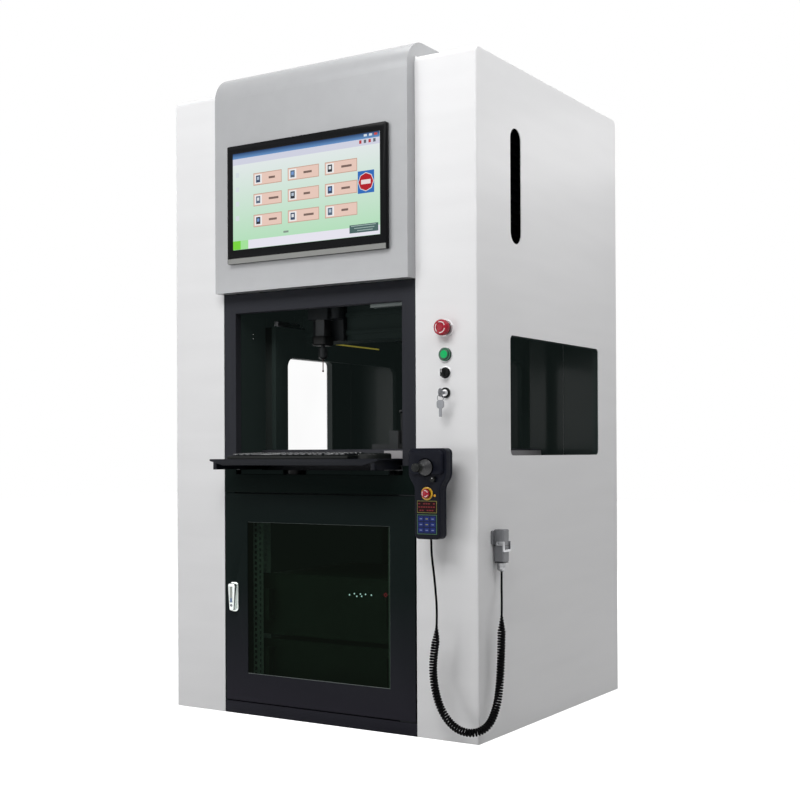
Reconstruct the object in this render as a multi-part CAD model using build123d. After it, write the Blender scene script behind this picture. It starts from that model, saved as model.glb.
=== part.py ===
from build123d import *
import math
import os

# Coordinate measuring machine in a shop-floor cabinet, in millimetres.
# Origin: centre of the footprint, on the floor. +X is right seen from the front, the front faces -Y, +Z is up.

# Cabinet
cabinet_width = 1020
cabinet_depth = 926
cabinet_height = 1800
front_width = 652
sheet = 2.5
panel_gap = 0.5
casing_edge_radius = 5
casing_top_radius = 18
casing_return = 60
panel_fold = 25

# Front, from the floor up
plinth_height = 34
door_gap = 4
door_height = 596
apron_height = 52
opening_height = 464
header_height = 54
head_gap = 2
head_height = 633
opening_width = 566

# Head cover and monitor
head_proud = 38
head_top_radius = 80
head_depth = 201
monitor_width = 538
monitor_height = 336
monitor_sill = 78
monitor_proud = 14
monitor_edge_radius = 4
monitor_body_margin = 12
monitor_body_depth = 40
screen_width = 497
screen_height = 273
screen_sill = 40
screen_thickness = 3
screen_recess = 0.5

# Side windows and vents
window_length = 592
window_height = 324
window_sill = 741
window_corner_radius = 14
window_reveal = 20
pane_thickness = 5
pane_margin = 12
vent_width = 64
vent_height = 314
vent_drop = 172
vent_set_back = 224
vent_depth = 16
vent_blades = 9
blade_thickness = 3
blade_slant = 9

# Support frame under the measuring unit
leg_size = 50
leg_wall = 3
leg_side_gap = 6
leg_set_back = 38
frame_height = 640
deck_thickness = 6

# Door
door_side_gap = 5
door_depth = 22
door_wall = 3
door_window_width = 484
door_window_height = 435
door_window_sill = 80
glass_thickness = 5
glass_margin = 14
hinge_inset = 15
hinge_pin_radius = 5
running_gap = 0.05
hinge_block = 24
lug_thickness = 3

# Latch on the door
latch_x = -289
latch_z = 336
latch_plate_width = 30
latch_plate_height = 84
latch_plate_depth = 4
latch_handle_width = 26
latch_handle_tip = 15
latch_handle_height = 78
latch_handle_depth = 13
latch_pivot_drop = 16
latch_gap = 0.4
latch_shaft_radius = 7
latch_tongue = (14, 30, 4)
keeper = (15, 4, 24)
keeper_door_gap = 2
keyhole_radius = 4.5

# Rack inside the lower bay
rail_hole_pitch = 465
rail_flange = 36
rail_depth = 32
rail_wall = 2.5
rail_set_back = 33
rail_hole = 9
rail_holes = 32
rail_hole_step = 16
rack_unit_width = 426
rack_unit_depth = 420
rack_ear = 482
rack_ear_thickness = 3
rack_wall = 2
rack_fan_radius = 40
controller_sill = 80
controller_height = 132
computer_sill = 226
computer_height = 176
rack_handle = (12, 30, 90)

# Chamber liners and lamp
liner_depth = 118
liner_thickness = 3
liner_flange = 22
lamp_length = 116
lamp_height = 13
lamp_depth = 24
lamp_drop = 9

# Keyboard tray
tray_reach = 120
tray_depth = 234
tray_thickness = 4
tray_lip = 17
tray_lip_thickness = 3
tray_taper = (46, 12)
tray_side_gap = 2
tray_top = 734
slide_height = 14
slide_width = 12
slide_gap = 0.7
slide_length = 100
keyboard_size = (408, 142, 12)
keyboard_x = -24
keyboard_set_back = 12
key_pitch = 18.2
key_size = 15.6
key_height = 6
key_rows = 6
key_columns = 21
space_bar_keys = 7
mouse_size = (60, 104, 15)
mouse_x = 232

# Measuring unit
base_width = 564
base_thickness = 60
base_top = 760
base_set_back = 118
base_rear_gap = 78
base_edge = 3
mount_radius = 35
mount_inset = 70
table_thread_radius = 4
table_thread_depth = 25
table_thread_x = 160
table_thread_y = 200
wall_inner = 228
wall_thickness = 15
wall_top = 1125
wall_opening_margin = 61
wall_opening_top = 1036
wall_opening_radius = 30
rail_size = 15
rail_margin = 12
scale_length = 455
scale_height = 11
scale_thickness = 1.5
scale_z = 1092
scale_offset = 32

# Moving bridge, carriage, ram and probe
beam_set_back = 180
beam_depth = 100
beam_bottom = 1082
beam_height = 100
beam_wall = 5
bearing_length = 120
bearing_width = 26
bearing_bottom = 1129
bearing_top = 1160
bearing_gap = 0.5
x_rail_height = 12
x_rail_proud = 8
x_rail_rise = (18, 70)
carriage_x = -115
carriage_width = 110
carriage_height = 116
carriage_thickness = 21
carriage_gap = 0.5
guide_width = 70
guide_depth = 54
guide_bottom = 1142
guide_height = 96
ram_size = 34
ram_gap = 0.4
ram_length = 420
ram_bottom = 1093
motor_radius = 21
motor_height = 74
head_size = 50
head_height_probe = 27
probe_radius = 13
probe_length = 34
probe_neck_radius = 6
probe_neck = 6
stylus_radius = 1.5
stylus_length = 34
ball_radius = 3
stylus_bore = 3
stylus_seat = 6
stylus_gap = 0.3
bridge_y_gap = 0.3

# Reference sphere stand on the table
stand_x = 140
stand_set_back = 45
stand_size = (86, 50, 14)
stand_post = (28, 30, 38)
stand_post_x = 163
stem_x = 180
stem_radius = 2
stem_height = 92
sphere_radius = 6

# Energy chain beside the left wall
chain_x = -266
chain_width = 24
chain_length = 280
chain_rear_gap = 38
chain_pitch = 14
chain_link = 12.4
chain_link_height = 10
chain_wall = 3
chain_low = 1154
chain_gap = 4
trough_thickness = 3
trough_lip = 8

# Controls on the right casing
control_side_gap = 93
stop_z = 1074
start_z = 1005
selector_z = 957
lock_z = 905
control_hole_radius = 11.2
control_barrel_radius = 11
control_barrel_length = 34
collar_depth = 6
stop_collar_radius = 17
stop_cap_radius = 21
stop_cap_height = 19
stop_stem_radius = 9
stop_travel = 4
stop_clearance = 0.6
start_bezel_radius = 18
start_button_radius = 13
start_proud = 5
start_travel = 3.5
start_recess = 4.6
start_stem_radius = 10
selector_bezel_radius = 14.5
selector_knob_radius = 12
selector_knob_height = 7
selector_grip = (7, 11)
lock_bezel_radius = 14
lock_core_radius = 9
turn_gap = 0.3
key_blade = (1.8, 8, 22)
key_bow_radius = 11
key_bow_hole = 3
key_ring_radius = 9
key_ring_wire = 0.9
spare_key_length = 40

# Side connector with its locking lever
plug_proud = 17
plug_set_back = 97
plug_top = 548
plug_width = 32
plug_depth = 30
plug_housing_height = 42
plug_hood_height = 44
plug_corner = 4
plug_foot = (56, 6, 36)
gland_radius = 9
gland_height = 24
lever_wire = 3
lever_pivot_rise = 6
lever_drop = 22
lever_gap = 0.6
lever_pin_radius = 2.5

# Hand control
pendant_offset = 12
pendant_proud = 78
pendant_gap = 40
pendant_bottom = 528
pendant_height = 233
pendant_head_width = 112
pendant_body_width = 76
pendant_head_height = 74
pendant_shoulder = 36
pendant_head_proud = 9
pendant_corner = 13
pendant_seam = 14
boot_z = 712
boot_radius = 23
boot_wall = 3
boot_skirt = 9
boot_tip_radius = 12
boot_length = 36
boot_ribs = 4
boot_gap = 0.8
boot_cavity = 9
gimbal_radius = 16
gimbal_bore = 10
gimbal_thickness = 4
gimbal_pin_radius = 1.5
gimbal_pin_depth = 4
stick_radius = 5.5
stick_ball = 7
stick_grip_radius = 11
stick_length = 62
pendant_stop_z = 645
pendant_stop_collar = 17
pendant_stop_radius = 12
pendant_stop_height = 14
pendant_stop_travel = 3
knob_offset = 20
knob_z = 681
knob_radius = 6.5
knob_height = 9
display_z = 611
display_size = (58, 31)
keypad_z = 566
keypad_size = (58, 50)
panel_thickness = 1.2
membrane_key = (14, 11, 0.8)
membrane_step = (17.5, 14.5)
hook_width = 34
hook_thickness = 4
hook_z = 700
hook_gap = 0.3
hook_lip = 26
hanger_width = 26
hanger_thickness = 6

# Cords: each route's points are counted from the cabinet's front right corner on the floor
lead_diameter = 6
coil_diameter = 22
lead_points = [(-105, -58, 528), (-105, -58, 492), (-98, -58, 446), (-93, -58, 400), (-90, -58, 366),
               (-89, -58, 336), (-90, -58, 306)]
coil_points = [(-90, -58, 306), (-91, -58, 276), (-99, -58, 232), (-102, -58, 186), (-94, -58, 132),
               (-73, -58, 82), (-34, -61, 48), (10, -51, 38), (36, -15, 52), (40, 23, 96), (37, 45, 150),
               (35, 56, 206), (35, 59, 252), (36, 59, 296), (36, 60, 330)]
plug_points = [(36, 60, 330), (36, 61, 364), (25, 81, 394), (17, 97, 414), (17, 97, 438)]

# Back
louvre_rows = 9
louvre_columns = 2
louvre_size = (180, 6)
louvre_step = 20
louvre_sill = 110
inlet_x = -230
inlet_z = 430
inlet_size = (48, 34, 30)
inlet_pocket = (28, 20, 22)
inlet_wall = 3

# Worked out from the sizes above
front_y = -cabinet_depth / 2
back_y = cabinet_depth / 2
side_x = cabinet_width / 2
inner_x = front_width / 2
panel_x = inner_x - panel_gap
fold_y = front_y + panel_fold
door_bottom = plinth_height + door_gap
door_top = door_bottom + door_height
frame_bottom = door_top + door_gap
opening_bottom = frame_bottom + apron_height
opening_top = opening_bottom + opening_height
frame_top = opening_top + header_height
head_bottom = frame_top + head_gap
head_top = head_bottom + head_height
head_front_y = front_y - head_proud
opening_x = opening_width / 2
leg_front_y = front_y + leg_set_back
leg_back_y = back_y - leg_set_back
rail_front_y = leg_front_y + rail_set_back
rail_back_y = leg_back_y - rail_set_back
base_front_y = front_y + base_set_back
base_back_y = back_y - base_rear_gap
window_middle_y = (base_front_y + base_back_y) / 2
vent_sill = cabinet_height - vent_drop - vent_height
vent_y = front_y + vent_set_back
wall_opening_front = base_front_y + wall_opening_margin
wall_opening_back = base_back_y - wall_opening_margin
scale_y = window_middle_y - scale_offset
beam_y = base_front_y + beam_set_back
stand_y = base_front_y + stand_set_back
chain_back_y = back_y - chain_rear_gap
chain_front_y = chain_back_y - chain_length
control_x = side_x - control_side_gap
plug_x = side_x + plug_proud
plug_y = front_y + plug_set_back
pendant_x = control_x - pendant_offset
pendant_face_y = front_y - pendant_proud
pendant_back_y = front_y - pendant_gap
knob_x = pendant_x + knob_offset

parts = {}


def block(x0, x1, y0, y1, z0, z1):
    """A box between two corners."""
    middle = Pos((x0 + x1) / 2, (y0 + y1) / 2, (z0 + z1) / 2)
    return middle * Box(abs(x1 - x0), abs(y1 - y0), abs(z1 - z0))


def cylinder_z(x, y, z0, z1, radius):
    """An upright cylinder."""
    return Pos(x, y, (z0 + z1) / 2) * Cylinder(radius, abs(z1 - z0))


def cylinder_y(x, z, y0, y1, radius):
    """A cylinder along Y."""
    return Pos(x, (y0 + y1) / 2, z) * Rot(90, 0, 0) * Cylinder(radius, abs(y1 - y0))


def cylinder_x(y, z, x0, x1, radius):
    """A cylinder along X."""
    return Pos((x0 + x1) / 2, y, z) * Rot(0, 90, 0) * Cylinder(radius, abs(x1 - x0))


def rounded_x(y, z, x0, x1, length, height, radius):
    """A block with four rounded corners seen along X, centred on y and z."""
    face = Plane((x0, y, z), x_dir=(0, 1, 0), z_dir=(1, 0, 0)) * RectangleRounded(length, height, radius)
    return extrude(face, x1 - x0)


def rounded_y(x, z, y0, y1, width, height, radius):
    """A block with four rounded corners seen along Y, centred on x and z."""
    face = Plane((x, y0, z), x_dir=(1, 0, 0), z_dir=(0, 1, 0)) * RectangleRounded(width, height, radius)
    return extrude(face, y1 - y0)


def rounded_z(x, y, z0, z1, width, depth, radius):
    """A block with four rounded corners seen from above, centred on x and y."""
    face = Plane((x, y, z0)) * RectangleRounded(width, depth, radius)
    return extrude(face, z1 - z0)


def mirrored(shape):
    """The same shape on the other side of the machine's middle plane."""
    return mirror(shape, about=Plane.YZ)


def node(name, *shapes):
    """Keep the solids of one named sub-part."""
    solids = [solid for shape in shapes for solid in shape.solids()]
    parts[name] = Compound(children=solids, label=name)


def folded_panel(x0, x1, z0, z1, y, depth, wall):
    """A sheet panel with its four edges folded back, front face at y."""
    outer = block(x0, x1, y, y + depth, z0, z1)
    pocket = block(x0 + wall, x1 - wall, y + wall, y + depth + wall, z0 + wall, z1 - wall)
    return outer - pocket


# Side casings: one folded sheet each, open to the inside and below
def casing_block(inset):
    """The casing's outline seen from the side, extruded across, with its outer edges rounded."""
    top = cabinet_height - inset
    low = 0 if inset == 0 else -sheet
    near, far = front_y + inset, back_y - inset
    radius = casing_top_radius - inset
    profile = make_face(FilletPolyline(
        (inner_x, near, low), (inner_x, near, top), (inner_x, far, top), (inner_x, far, low),
        radius=[0, radius, radius, 0], close=True))
    solid = extrude(profile, amount=side_x - inset - inner_x, dir=(1, 0, 0))
    outer = solid.faces().sort_by(Axis.X)[-1]
    edges = [e for e in outer.edges() if e.center().Z > low + sheet]
    return fillet(edges, casing_edge_radius - inset)


window_z = window_sill + window_height / 2
vent_z = vent_sill + vent_height / 2
inside_x = side_x - sheet
shell = casing_block(0) - casing_block(sheet)
shell -= block(inner_x - sheet, inner_x + sheet / 2, front_y + sheet, back_y - sheet, -sheet, cabinet_height - sheet)
shell += block(inner_x, inner_x + sheet, front_y + sheet / 2, front_y + casing_return, 0, cabinet_height - sheet / 2)
shell += rounded_x(window_middle_y, window_z, inside_x, inside_x - window_reveal, window_length + 2 * sheet,
                   window_height + 2 * sheet, window_corner_radius + sheet)
shell -= rounded_x(window_middle_y, window_z, side_x + sheet, inside_x - window_reveal - sheet, window_length,
                   window_height, window_corner_radius)
shell -= rounded_x(vent_y, vent_z, side_x + sheet, inside_x - sheet, vent_width, vent_height,
                   vent_width / 2 - panel_gap / 10)
control_heights = (stop_z, start_z, selector_z, lock_z)
right_casing = shell
for height in control_heights:
    right_casing -= cylinder_y(control_x, height, front_y - sheet, front_y + 2 * sheet, control_hole_radius)
node("right_casing", right_casing)
node("left_casing", mirrored(shell))

pane_x = inside_x - window_reveal
pane = rounded_x(window_middle_y, window_z, pane_x, pane_x - pane_thickness, window_length + 2 * pane_margin,
                 window_height + 2 * pane_margin, window_corner_radius + pane_margin)
node("window_panes", pane, mirrored(pane))

# Vents: an obround pan behind the casing with slanted blades
pan_width = vent_width + 2 * sheet
pan_height = vent_height + 2 * sheet
pan_corner = pan_width / 2 - panel_gap / 10
pan = rounded_x(vent_y, vent_z, inside_x, inside_x - vent_depth, pan_width, pan_height, pan_corner)
pan -= rounded_x(vent_y, vent_z, inside_x + sheet, inside_x - vent_depth + sheet, vent_width, vent_height,
                 vent_width / 2 - panel_gap / 10)
blade_step = (vent_height - vent_width) / (vent_blades - 1)
for i in range(vent_blades):
    blade_z = vent_sill + vent_width / 2 + i * blade_step
    blade_face = Plane((inside_x - vent_depth + sheet / 2, vent_y, blade_z), x_dir=(1, 0, 0), z_dir=(0, -1, 0))
    reach = vent_depth - 2 * sheet
    blade = extrude(blade_face * Polygon((0, 0), (reach, -blade_slant), (reach, blade_thickness - blade_slant),
                                         (0, blade_thickness), align=None), vent_width / 2, both=True)
    pan += blade & rounded_x(vent_y, vent_z, inside_x, inside_x - vent_depth, pan_width, pan_height, pan_corner)
node("vent_inserts", pan, mirrored(pan))

# Head cover: folded sheet with a rounded top front edge
def head_block(inset):
    """The head's outline seen from the side, extruded across."""
    near, far = head_front_y + inset, head_front_y + head_depth + (sheet if inset else 0)
    low, top = head_bottom + inset, head_top - inset
    profile = make_face(FilletPolyline(
        (-panel_x + inset, near, low), (-panel_x + inset, near, top), (-panel_x + inset, far, top),
        (-panel_x + inset, far, low), radius=[0, head_top_radius - inset, 0, 0], close=True))
    return extrude(profile, amount=2 * (panel_x - inset), dir=(1, 0, 0))


monitor_bottom = head_bottom + monitor_sill
monitor_z = monitor_bottom + monitor_height / 2
monitor_body_width = monitor_width - 2 * monitor_body_margin
monitor_body_height = monitor_height - 2 * monitor_body_margin
head = head_block(0) - head_block(sheet)
head -= block(-panel_x + sheet, panel_x - sheet, front_y + sheet, front_y + head_depth, head_bottom - sheet,
              head_bottom + 2 * sheet)
head -= block(-monitor_body_width / 2 - panel_gap, monitor_body_width / 2 + panel_gap, head_front_y - sheet,
              head_front_y + 2 * sheet, monitor_z - monitor_body_height / 2 - panel_gap,
              monitor_z + monitor_body_height / 2 + panel_gap)
back_flange = block(-panel_x, panel_x, head_front_y + head_depth - sheet, head_front_y + head_depth,
                    cabinet_height, head_top)
node("head_cover", head + back_flange)

monitor_front_y = head_front_y - monitor_proud
bezel = rounded_y(0, monitor_z, monitor_front_y, head_front_y, monitor_width, monitor_height,
                  monitor_edge_radius)
body_block = block(-monitor_body_width / 2, monitor_body_width / 2, head_front_y, head_front_y + monitor_body_depth,
                   monitor_z - monitor_body_height / 2, monitor_z + monitor_body_height / 2)
screen_z = monitor_bottom + screen_sill + screen_height / 2
screen_back_y = monitor_front_y + screen_recess + screen_thickness
screen_pocket = block(-screen_width / 2 - panel_gap, screen_width / 2 + panel_gap, monitor_front_y - sheet,
                      screen_back_y, screen_z - screen_height / 2 - panel_gap,
                      screen_z + screen_height / 2 + panel_gap)
node("monitor_housing", bezel + body_block - screen_pocket)
node("monitor_screen", block(-screen_width / 2, screen_width / 2, monitor_front_y + screen_recess, screen_back_y,
                             screen_z - screen_height / 2, screen_z + screen_height / 2))

# Roof and back panels between the casings
node("roof_panel", block(-panel_x, panel_x, head_front_y + head_depth, back_y - sheet, cabinet_height - sheet,
                         cabinet_height))
rear = block(-panel_x, panel_x, back_y - sheet, back_y, 0, cabinet_height)
for column in range(louvre_columns):
    louvre_x = (column - (louvre_columns - 1) / 2) * louvre_size[0] * 1.3
    for row in range(louvre_rows):
        louvre_z = louvre_sill + row * louvre_step
        rear -= block(louvre_x - louvre_size[0] / 2, louvre_x + louvre_size[0] / 2, back_y - 2 * sheet,
                      back_y + sheet, louvre_z, louvre_z + louvre_size[1])
rear -= block(inlet_x - inlet_size[0] / 2, inlet_x + inlet_size[0] / 2, back_y - 2 * sheet, back_y + sheet,
              inlet_z - inlet_size[1] / 2, inlet_z + inlet_size[1] / 2)
node("rear_panel", rear)
inlet = block(inlet_x - inlet_size[0] / 2 - inlet_wall, inlet_x + inlet_size[0] / 2 + inlet_wall, back_y,
              back_y + inlet_wall, inlet_z - inlet_size[1] / 2 - inlet_wall,
              inlet_z + inlet_size[1] / 2 + inlet_wall)
inlet += block(inlet_x - inlet_size[0] / 2, inlet_x + inlet_size[0] / 2, back_y - inlet_size[2], back_y,
               inlet_z - inlet_size[1] / 2, inlet_z + inlet_size[1] / 2)
inlet -= block(inlet_x - inlet_pocket[0] / 2, inlet_x + inlet_pocket[0] / 2, back_y + inlet_wall - inlet_pocket[2],
               back_y + 2 * inlet_wall, inlet_z - inlet_pocket[1] / 2, inlet_z + inlet_pocket[1] / 2)
inlet_pin = (2, 4)
inlet_pin_spots = ((-7, 3), (0, -3), (7, 3))
for spot_x, spot_z in inlet_pin_spots:
    inlet += block(inlet_x + spot_x - inlet_pin[0] / 2, inlet_x + spot_x + inlet_pin[0] / 2,
                   back_y + inlet_wall - inlet_pocket[2], back_y, inlet_z + spot_z - inlet_pin[1] / 2,
                   inlet_z + spot_z + inlet_pin[1] / 2)
node("mains_inlet", inlet)

# Front frame round the chamber opening, with the apron below and the header above
front_frame = folded_panel(-panel_x, panel_x, frame_bottom, frame_top, front_y, panel_fold, sheet)
front_frame += block(-opening_x - sheet, opening_x + sheet, front_y, fold_y, opening_bottom - sheet,
                     opening_top + sheet)
front_frame -= block(-opening_x, opening_x, front_y - sheet, fold_y + sheet, opening_bottom, opening_top)
node("front_frame", front_frame)

node("plinth", folded_panel(-panel_x, panel_x, 0, plinth_height, front_y, leg_front_y - front_y, sheet))

liner = block(opening_x, opening_x + liner_thickness, fold_y, fold_y + liner_depth, opening_bottom, opening_top)
liner += block(opening_x, opening_x + liner_flange, fold_y + liner_depth - liner_thickness, fold_y + liner_depth,
               opening_bottom, opening_top)
node("jamb_liners", liner, mirrored(liner))

lamp = block(opening_x - lamp_length, opening_x - tray_side_gap, fold_y, fold_y + lamp_depth,
             opening_top - lamp_drop, opening_top - lamp_drop + lamp_height)
node("light_bar", lamp)

# Support frame: four hollow legs joined by hollow rails, and the hinge lugs of the door
leg_outer = inner_x - leg_side_gap
leg_inner = leg_outer - leg_size
door_x = inner_x - door_side_gap
hinge_x = door_x - hinge_inset
hinge_y = front_y + door_depth / 2
leg_rows = ((leg_front_y, leg_front_y + leg_size), (leg_back_y - leg_size, leg_back_y))
rail_levels = (0, frame_height - leg_size)


def frame_tubes(inset):
    """Every tube of the support frame, as solid bars drawn in by inset."""
    size = leg_size - inset
    bars = block(-leg_inner - inset, leg_inner + inset, -leg_size / 2 + inset, leg_size / 2 - inset, inset, size)
    for y0, y1 in leg_rows:
        for side in (-1, 1):
            z_end = -inset if inset else 0
            bars += block(side * (leg_inner + inset), side * (leg_outer - inset), y0 + inset, y1 - inset, z_end,
                          frame_height - z_end)
        for z0 in rail_levels:
            bars += block(-leg_inner - inset, leg_inner + inset, y0 + inset, y1 - inset, z0 + inset, z0 + size)
    for side in (-1, 1):
        for z0 in rail_levels:
            bars += block(side * (leg_inner + inset), side * (leg_outer - inset), leg_front_y + inset,
                          leg_back_y - inset, z0 + inset, z0 + size)
    return bars


support = frame_tubes(0) - frame_tubes(leg_wall)
lug_levels = ((plinth_height, plinth_height + lug_thickness), (frame_bottom - lug_thickness, frame_bottom))
for z0, z1 in lug_levels:
    lug = block(leg_inner, leg_outer, hinge_y - 2 * hinge_pin_radius + sheet, leg_front_y + leg_wall, z0, z1)
    lug -= cylinder_z(hinge_x, hinge_y, z0 - sheet, z1 + sheet, hinge_pin_radius + running_gap)
    support += lug
latch_pivot_z = latch_z + latch_handle_height / 2 - latch_pivot_drop
keeper_x = -door_x + door_wall + keeper_door_gap
keeper_y = front_y + door_depth - latch_gap * 4
keeper_z = latch_pivot_z - latch_tongue[0] / 2 - keeper_door_gap - keeper[1]
support += block(keeper_x, keeper_x + keeper[0], keeper_y - keeper[1], leg_front_y + leg_wall, keeper_z,
                 keeper_z + keeper[1])
support += block(keeper_x, keeper_x + keeper[0], keeper_y - keeper[1], keeper_y, keeper_z, keeper_z + keeper[2])
node("support_frame", support)

deck = block(-leg_outer, leg_outer, fold_y, leg_back_y, frame_height, frame_height + deck_thickness)
node("deck_panel", deck)

# Door: folded sheet with a window, glazed from behind, on two pivot pins at its right edge
door = folded_panel(-door_x, door_x, door_bottom, door_top, front_y, door_depth, door_wall)
door_window_z0 = door_bottom + door_window_sill
door_window_z1 = door_window_z0 + door_window_height
door -= block(-door_window_width / 2, door_window_width / 2, front_y - sheet, front_y + 2 * door_wall,
              door_window_z0, door_window_z1)
for z0, z1 in ((door_bottom, door_bottom + hinge_block), (door_top - hinge_block, door_top)):
    door += block(door_x - 2 * hinge_inset, door_x, front_y, front_y + door_depth, z0, z1)
door += cylinder_z(hinge_x, hinge_y, plinth_height, door_bottom + hinge_block / 2, hinge_pin_radius)
door += cylinder_z(hinge_x, hinge_y, door_top - hinge_block / 2, frame_bottom, hinge_pin_radius)
door -= cylinder_y(latch_x, latch_pivot_z, front_y - sheet, front_y + 2 * door_wall,
                   latch_shaft_radius + running_gap)
node("door_frame", door)
node("door_glass", block(-door_window_width / 2 - glass_margin, door_window_width / 2 + glass_margin,
                         front_y + door_wall, front_y + door_wall + glass_thickness,
                         door_window_z0 - glass_margin, door_window_z1 + glass_margin))

# Latch: a plate on the door, and a tapered handle on a shaft with a tongue behind the door. The tongue points up
# when the latch is released, and a quarter turn takes it behind the keeper's lip on the left front leg.
plate_y = front_y - latch_plate_depth
plate = rounded_y(latch_x, latch_z, plate_y, front_y, latch_plate_width, latch_plate_height, latch_plate_width / 3)
plate -= cylinder_y(latch_x, latch_pivot_z, plate_y - sheet, front_y + sheet, latch_shaft_radius + running_gap)
node("latch_plate", plate)
handle_back_y = plate_y - latch_gap
handle_top = latch_pivot_z + latch_pivot_drop
handle_low = handle_top - latch_handle_height
outline = Plane((latch_x, handle_back_y, 0), x_dir=(1, 0, 0), z_dir=(0, -1, 0)) * make_face(Polyline(
    (-latch_handle_width / 2, handle_top), (latch_handle_width / 2, handle_top),
    (latch_handle_tip / 2, handle_low), (-latch_handle_tip / 2, handle_low), close=True))
grip = extrude(outline, latch_handle_depth)
grip = fillet(grip.edges().filter_by(Axis.Y), latch_handle_tip / 2.5)
grip = fillet(grip.faces().sort_by(Axis.Y)[0].edges(), latch_handle_tip / 5)
grip -= cylinder_y(latch_x, handle_low + latch_handle_tip, handle_back_y - latch_handle_depth - sheet,
                   handle_back_y - latch_handle_depth + 1, keyhole_radius)
tongue_y = front_y + door_depth + latch_gap * 4
grip += cylinder_y(latch_x, latch_pivot_z, handle_back_y, tongue_y + latch_tongue[2], latch_shaft_radius)
grip += block(latch_x - latch_tongue[0] / 2, latch_x + latch_tongue[0] / 2, tongue_y, tongue_y + latch_tongue[2],
              latch_pivot_z - latch_tongue[0] / 2, latch_pivot_z + latch_tongue[1])
node("latch_handle", grip)

# Rack rails with their square holes, and the two boxes they carry
rail_z0 = leg_size
rail_z1 = frame_height - leg_size
rail_inner = rail_hole_pitch / 2 - rail_flange / 2
rail_outer = rail_inner + rail_flange
rails = []
for rail_y, inward in ((rail_front_y, 1), (rail_back_y, -1)):
    flange = block(rail_inner, rail_outer, rail_y, rail_y + inward * rail_wall, rail_z0, rail_z1)
    flange += block(rail_outer - rail_wall, rail_outer, rail_y, rail_y + inward * rail_depth, rail_z0, rail_z1)
    if inward == 1:
        for i in range(rail_holes):
            hole_z = rail_z0 + (i + 1) * rail_hole_step
            flange -= block(rail_hole_pitch / 2 - rail_hole / 2, rail_hole_pitch / 2 + rail_hole / 2,
                            rail_y - rail_wall, rail_y + 2 * rail_wall, hole_z, hole_z + rail_hole)
    rails += [flange, mirrored(flange)]
node("rack_rails", *rails)


def rack_box(sill, height):
    """A rack housing with its front ears and two handles."""
    ear_y = rail_front_y - rack_ear_thickness
    box = block(-rack_unit_width / 2, rack_unit_width / 2, ear_y, ear_y + rack_unit_depth, sill, sill + height)
    box -= block(-rack_unit_width / 2 + rack_wall, rack_unit_width / 2 - rack_wall, ear_y + rack_ear_thickness,
                 ear_y + rack_unit_depth - rack_wall, sill + rack_wall, sill + height - rack_wall)
    box -= cylinder_y(0, sill + height / 2, ear_y + rack_unit_depth - 2 * rack_wall,
                      ear_y + rack_unit_depth + rack_wall, rack_fan_radius)
    box += block(-rack_ear / 2, rack_ear / 2, ear_y, rail_front_y, sill, sill + height)
    for side in (-1, 1):
        x = side * (rack_unit_width / 2 - rack_handle[0])
        grip_z = sill + height / 2
        handle = block(x - rack_handle[0] / 2, x + rack_handle[0] / 2, ear_y - rack_handle[1], ear_y,
                       grip_z - rack_handle[2] / 2, grip_z + rack_handle[2] / 2)
        handle -= block(x - rack_handle[0], x + rack_handle[0], ear_y - rack_handle[1] + rack_handle[0], ear_y,
                        grip_z - rack_handle[2] / 2 + rack_handle[0], grip_z + rack_handle[2] / 2 - rack_handle[0])
        box += handle
    return box


node("rack_units", rack_box(controller_sill, controller_height), rack_box(computer_sill, computer_height))

# Keyboard tray on its slides
tray_front_y = front_y - tray_reach
tray_back_y = tray_front_y + tray_depth
tray_x = opening_x - tray_side_gap
tray_bottom = tray_top - tray_lip
slide_top = tray_bottom - slide_gap
slide_bottom = slide_top - slide_height
slide_back_y = front_y + sheet + slide_length
slide = block(opening_x - slide_width, opening_x, front_y + sheet, slide_back_y, slide_bottom, slide_top)
slide -= block(opening_x - 2 * slide_width, opening_x - slide_width / 3, front_y, slide_back_y + sheet,
               slide_bottom + sheet, slide_top - sheet)
node("tray_slides", slide, mirrored(slide))
fascia_plane = Plane((0, tray_front_y, 0), x_dir=(1, 0, 0), z_dir=(0, -1, 0))
fascia = fascia_plane * make_face(Polyline(
    (-tray_x, tray_top), (tray_x, tray_top), (tray_x, tray_bottom + tray_taper[1]),
    (tray_x - tray_taper[0], tray_bottom), (-tray_x + tray_taper[0], tray_bottom),
    (-tray_x, tray_bottom + tray_taper[1]), close=True))
tray = extrude(fascia, -tray_lip_thickness)
tray += block(-tray_x, tray_x, tray_front_y, tray_back_y, tray_top - tray_thickness, tray_top)
inner_slide_x = opening_x - slide_width - slide_gap
for side in (-1, 1):
    tray += block(side * inner_slide_x, side * (inner_slide_x - slide_width), tray_front_y + tray_lip_thickness,
                  tray_back_y, slide_bottom + sheet, tray_top - tray_thickness)
node("tray_panel", tray)

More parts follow.
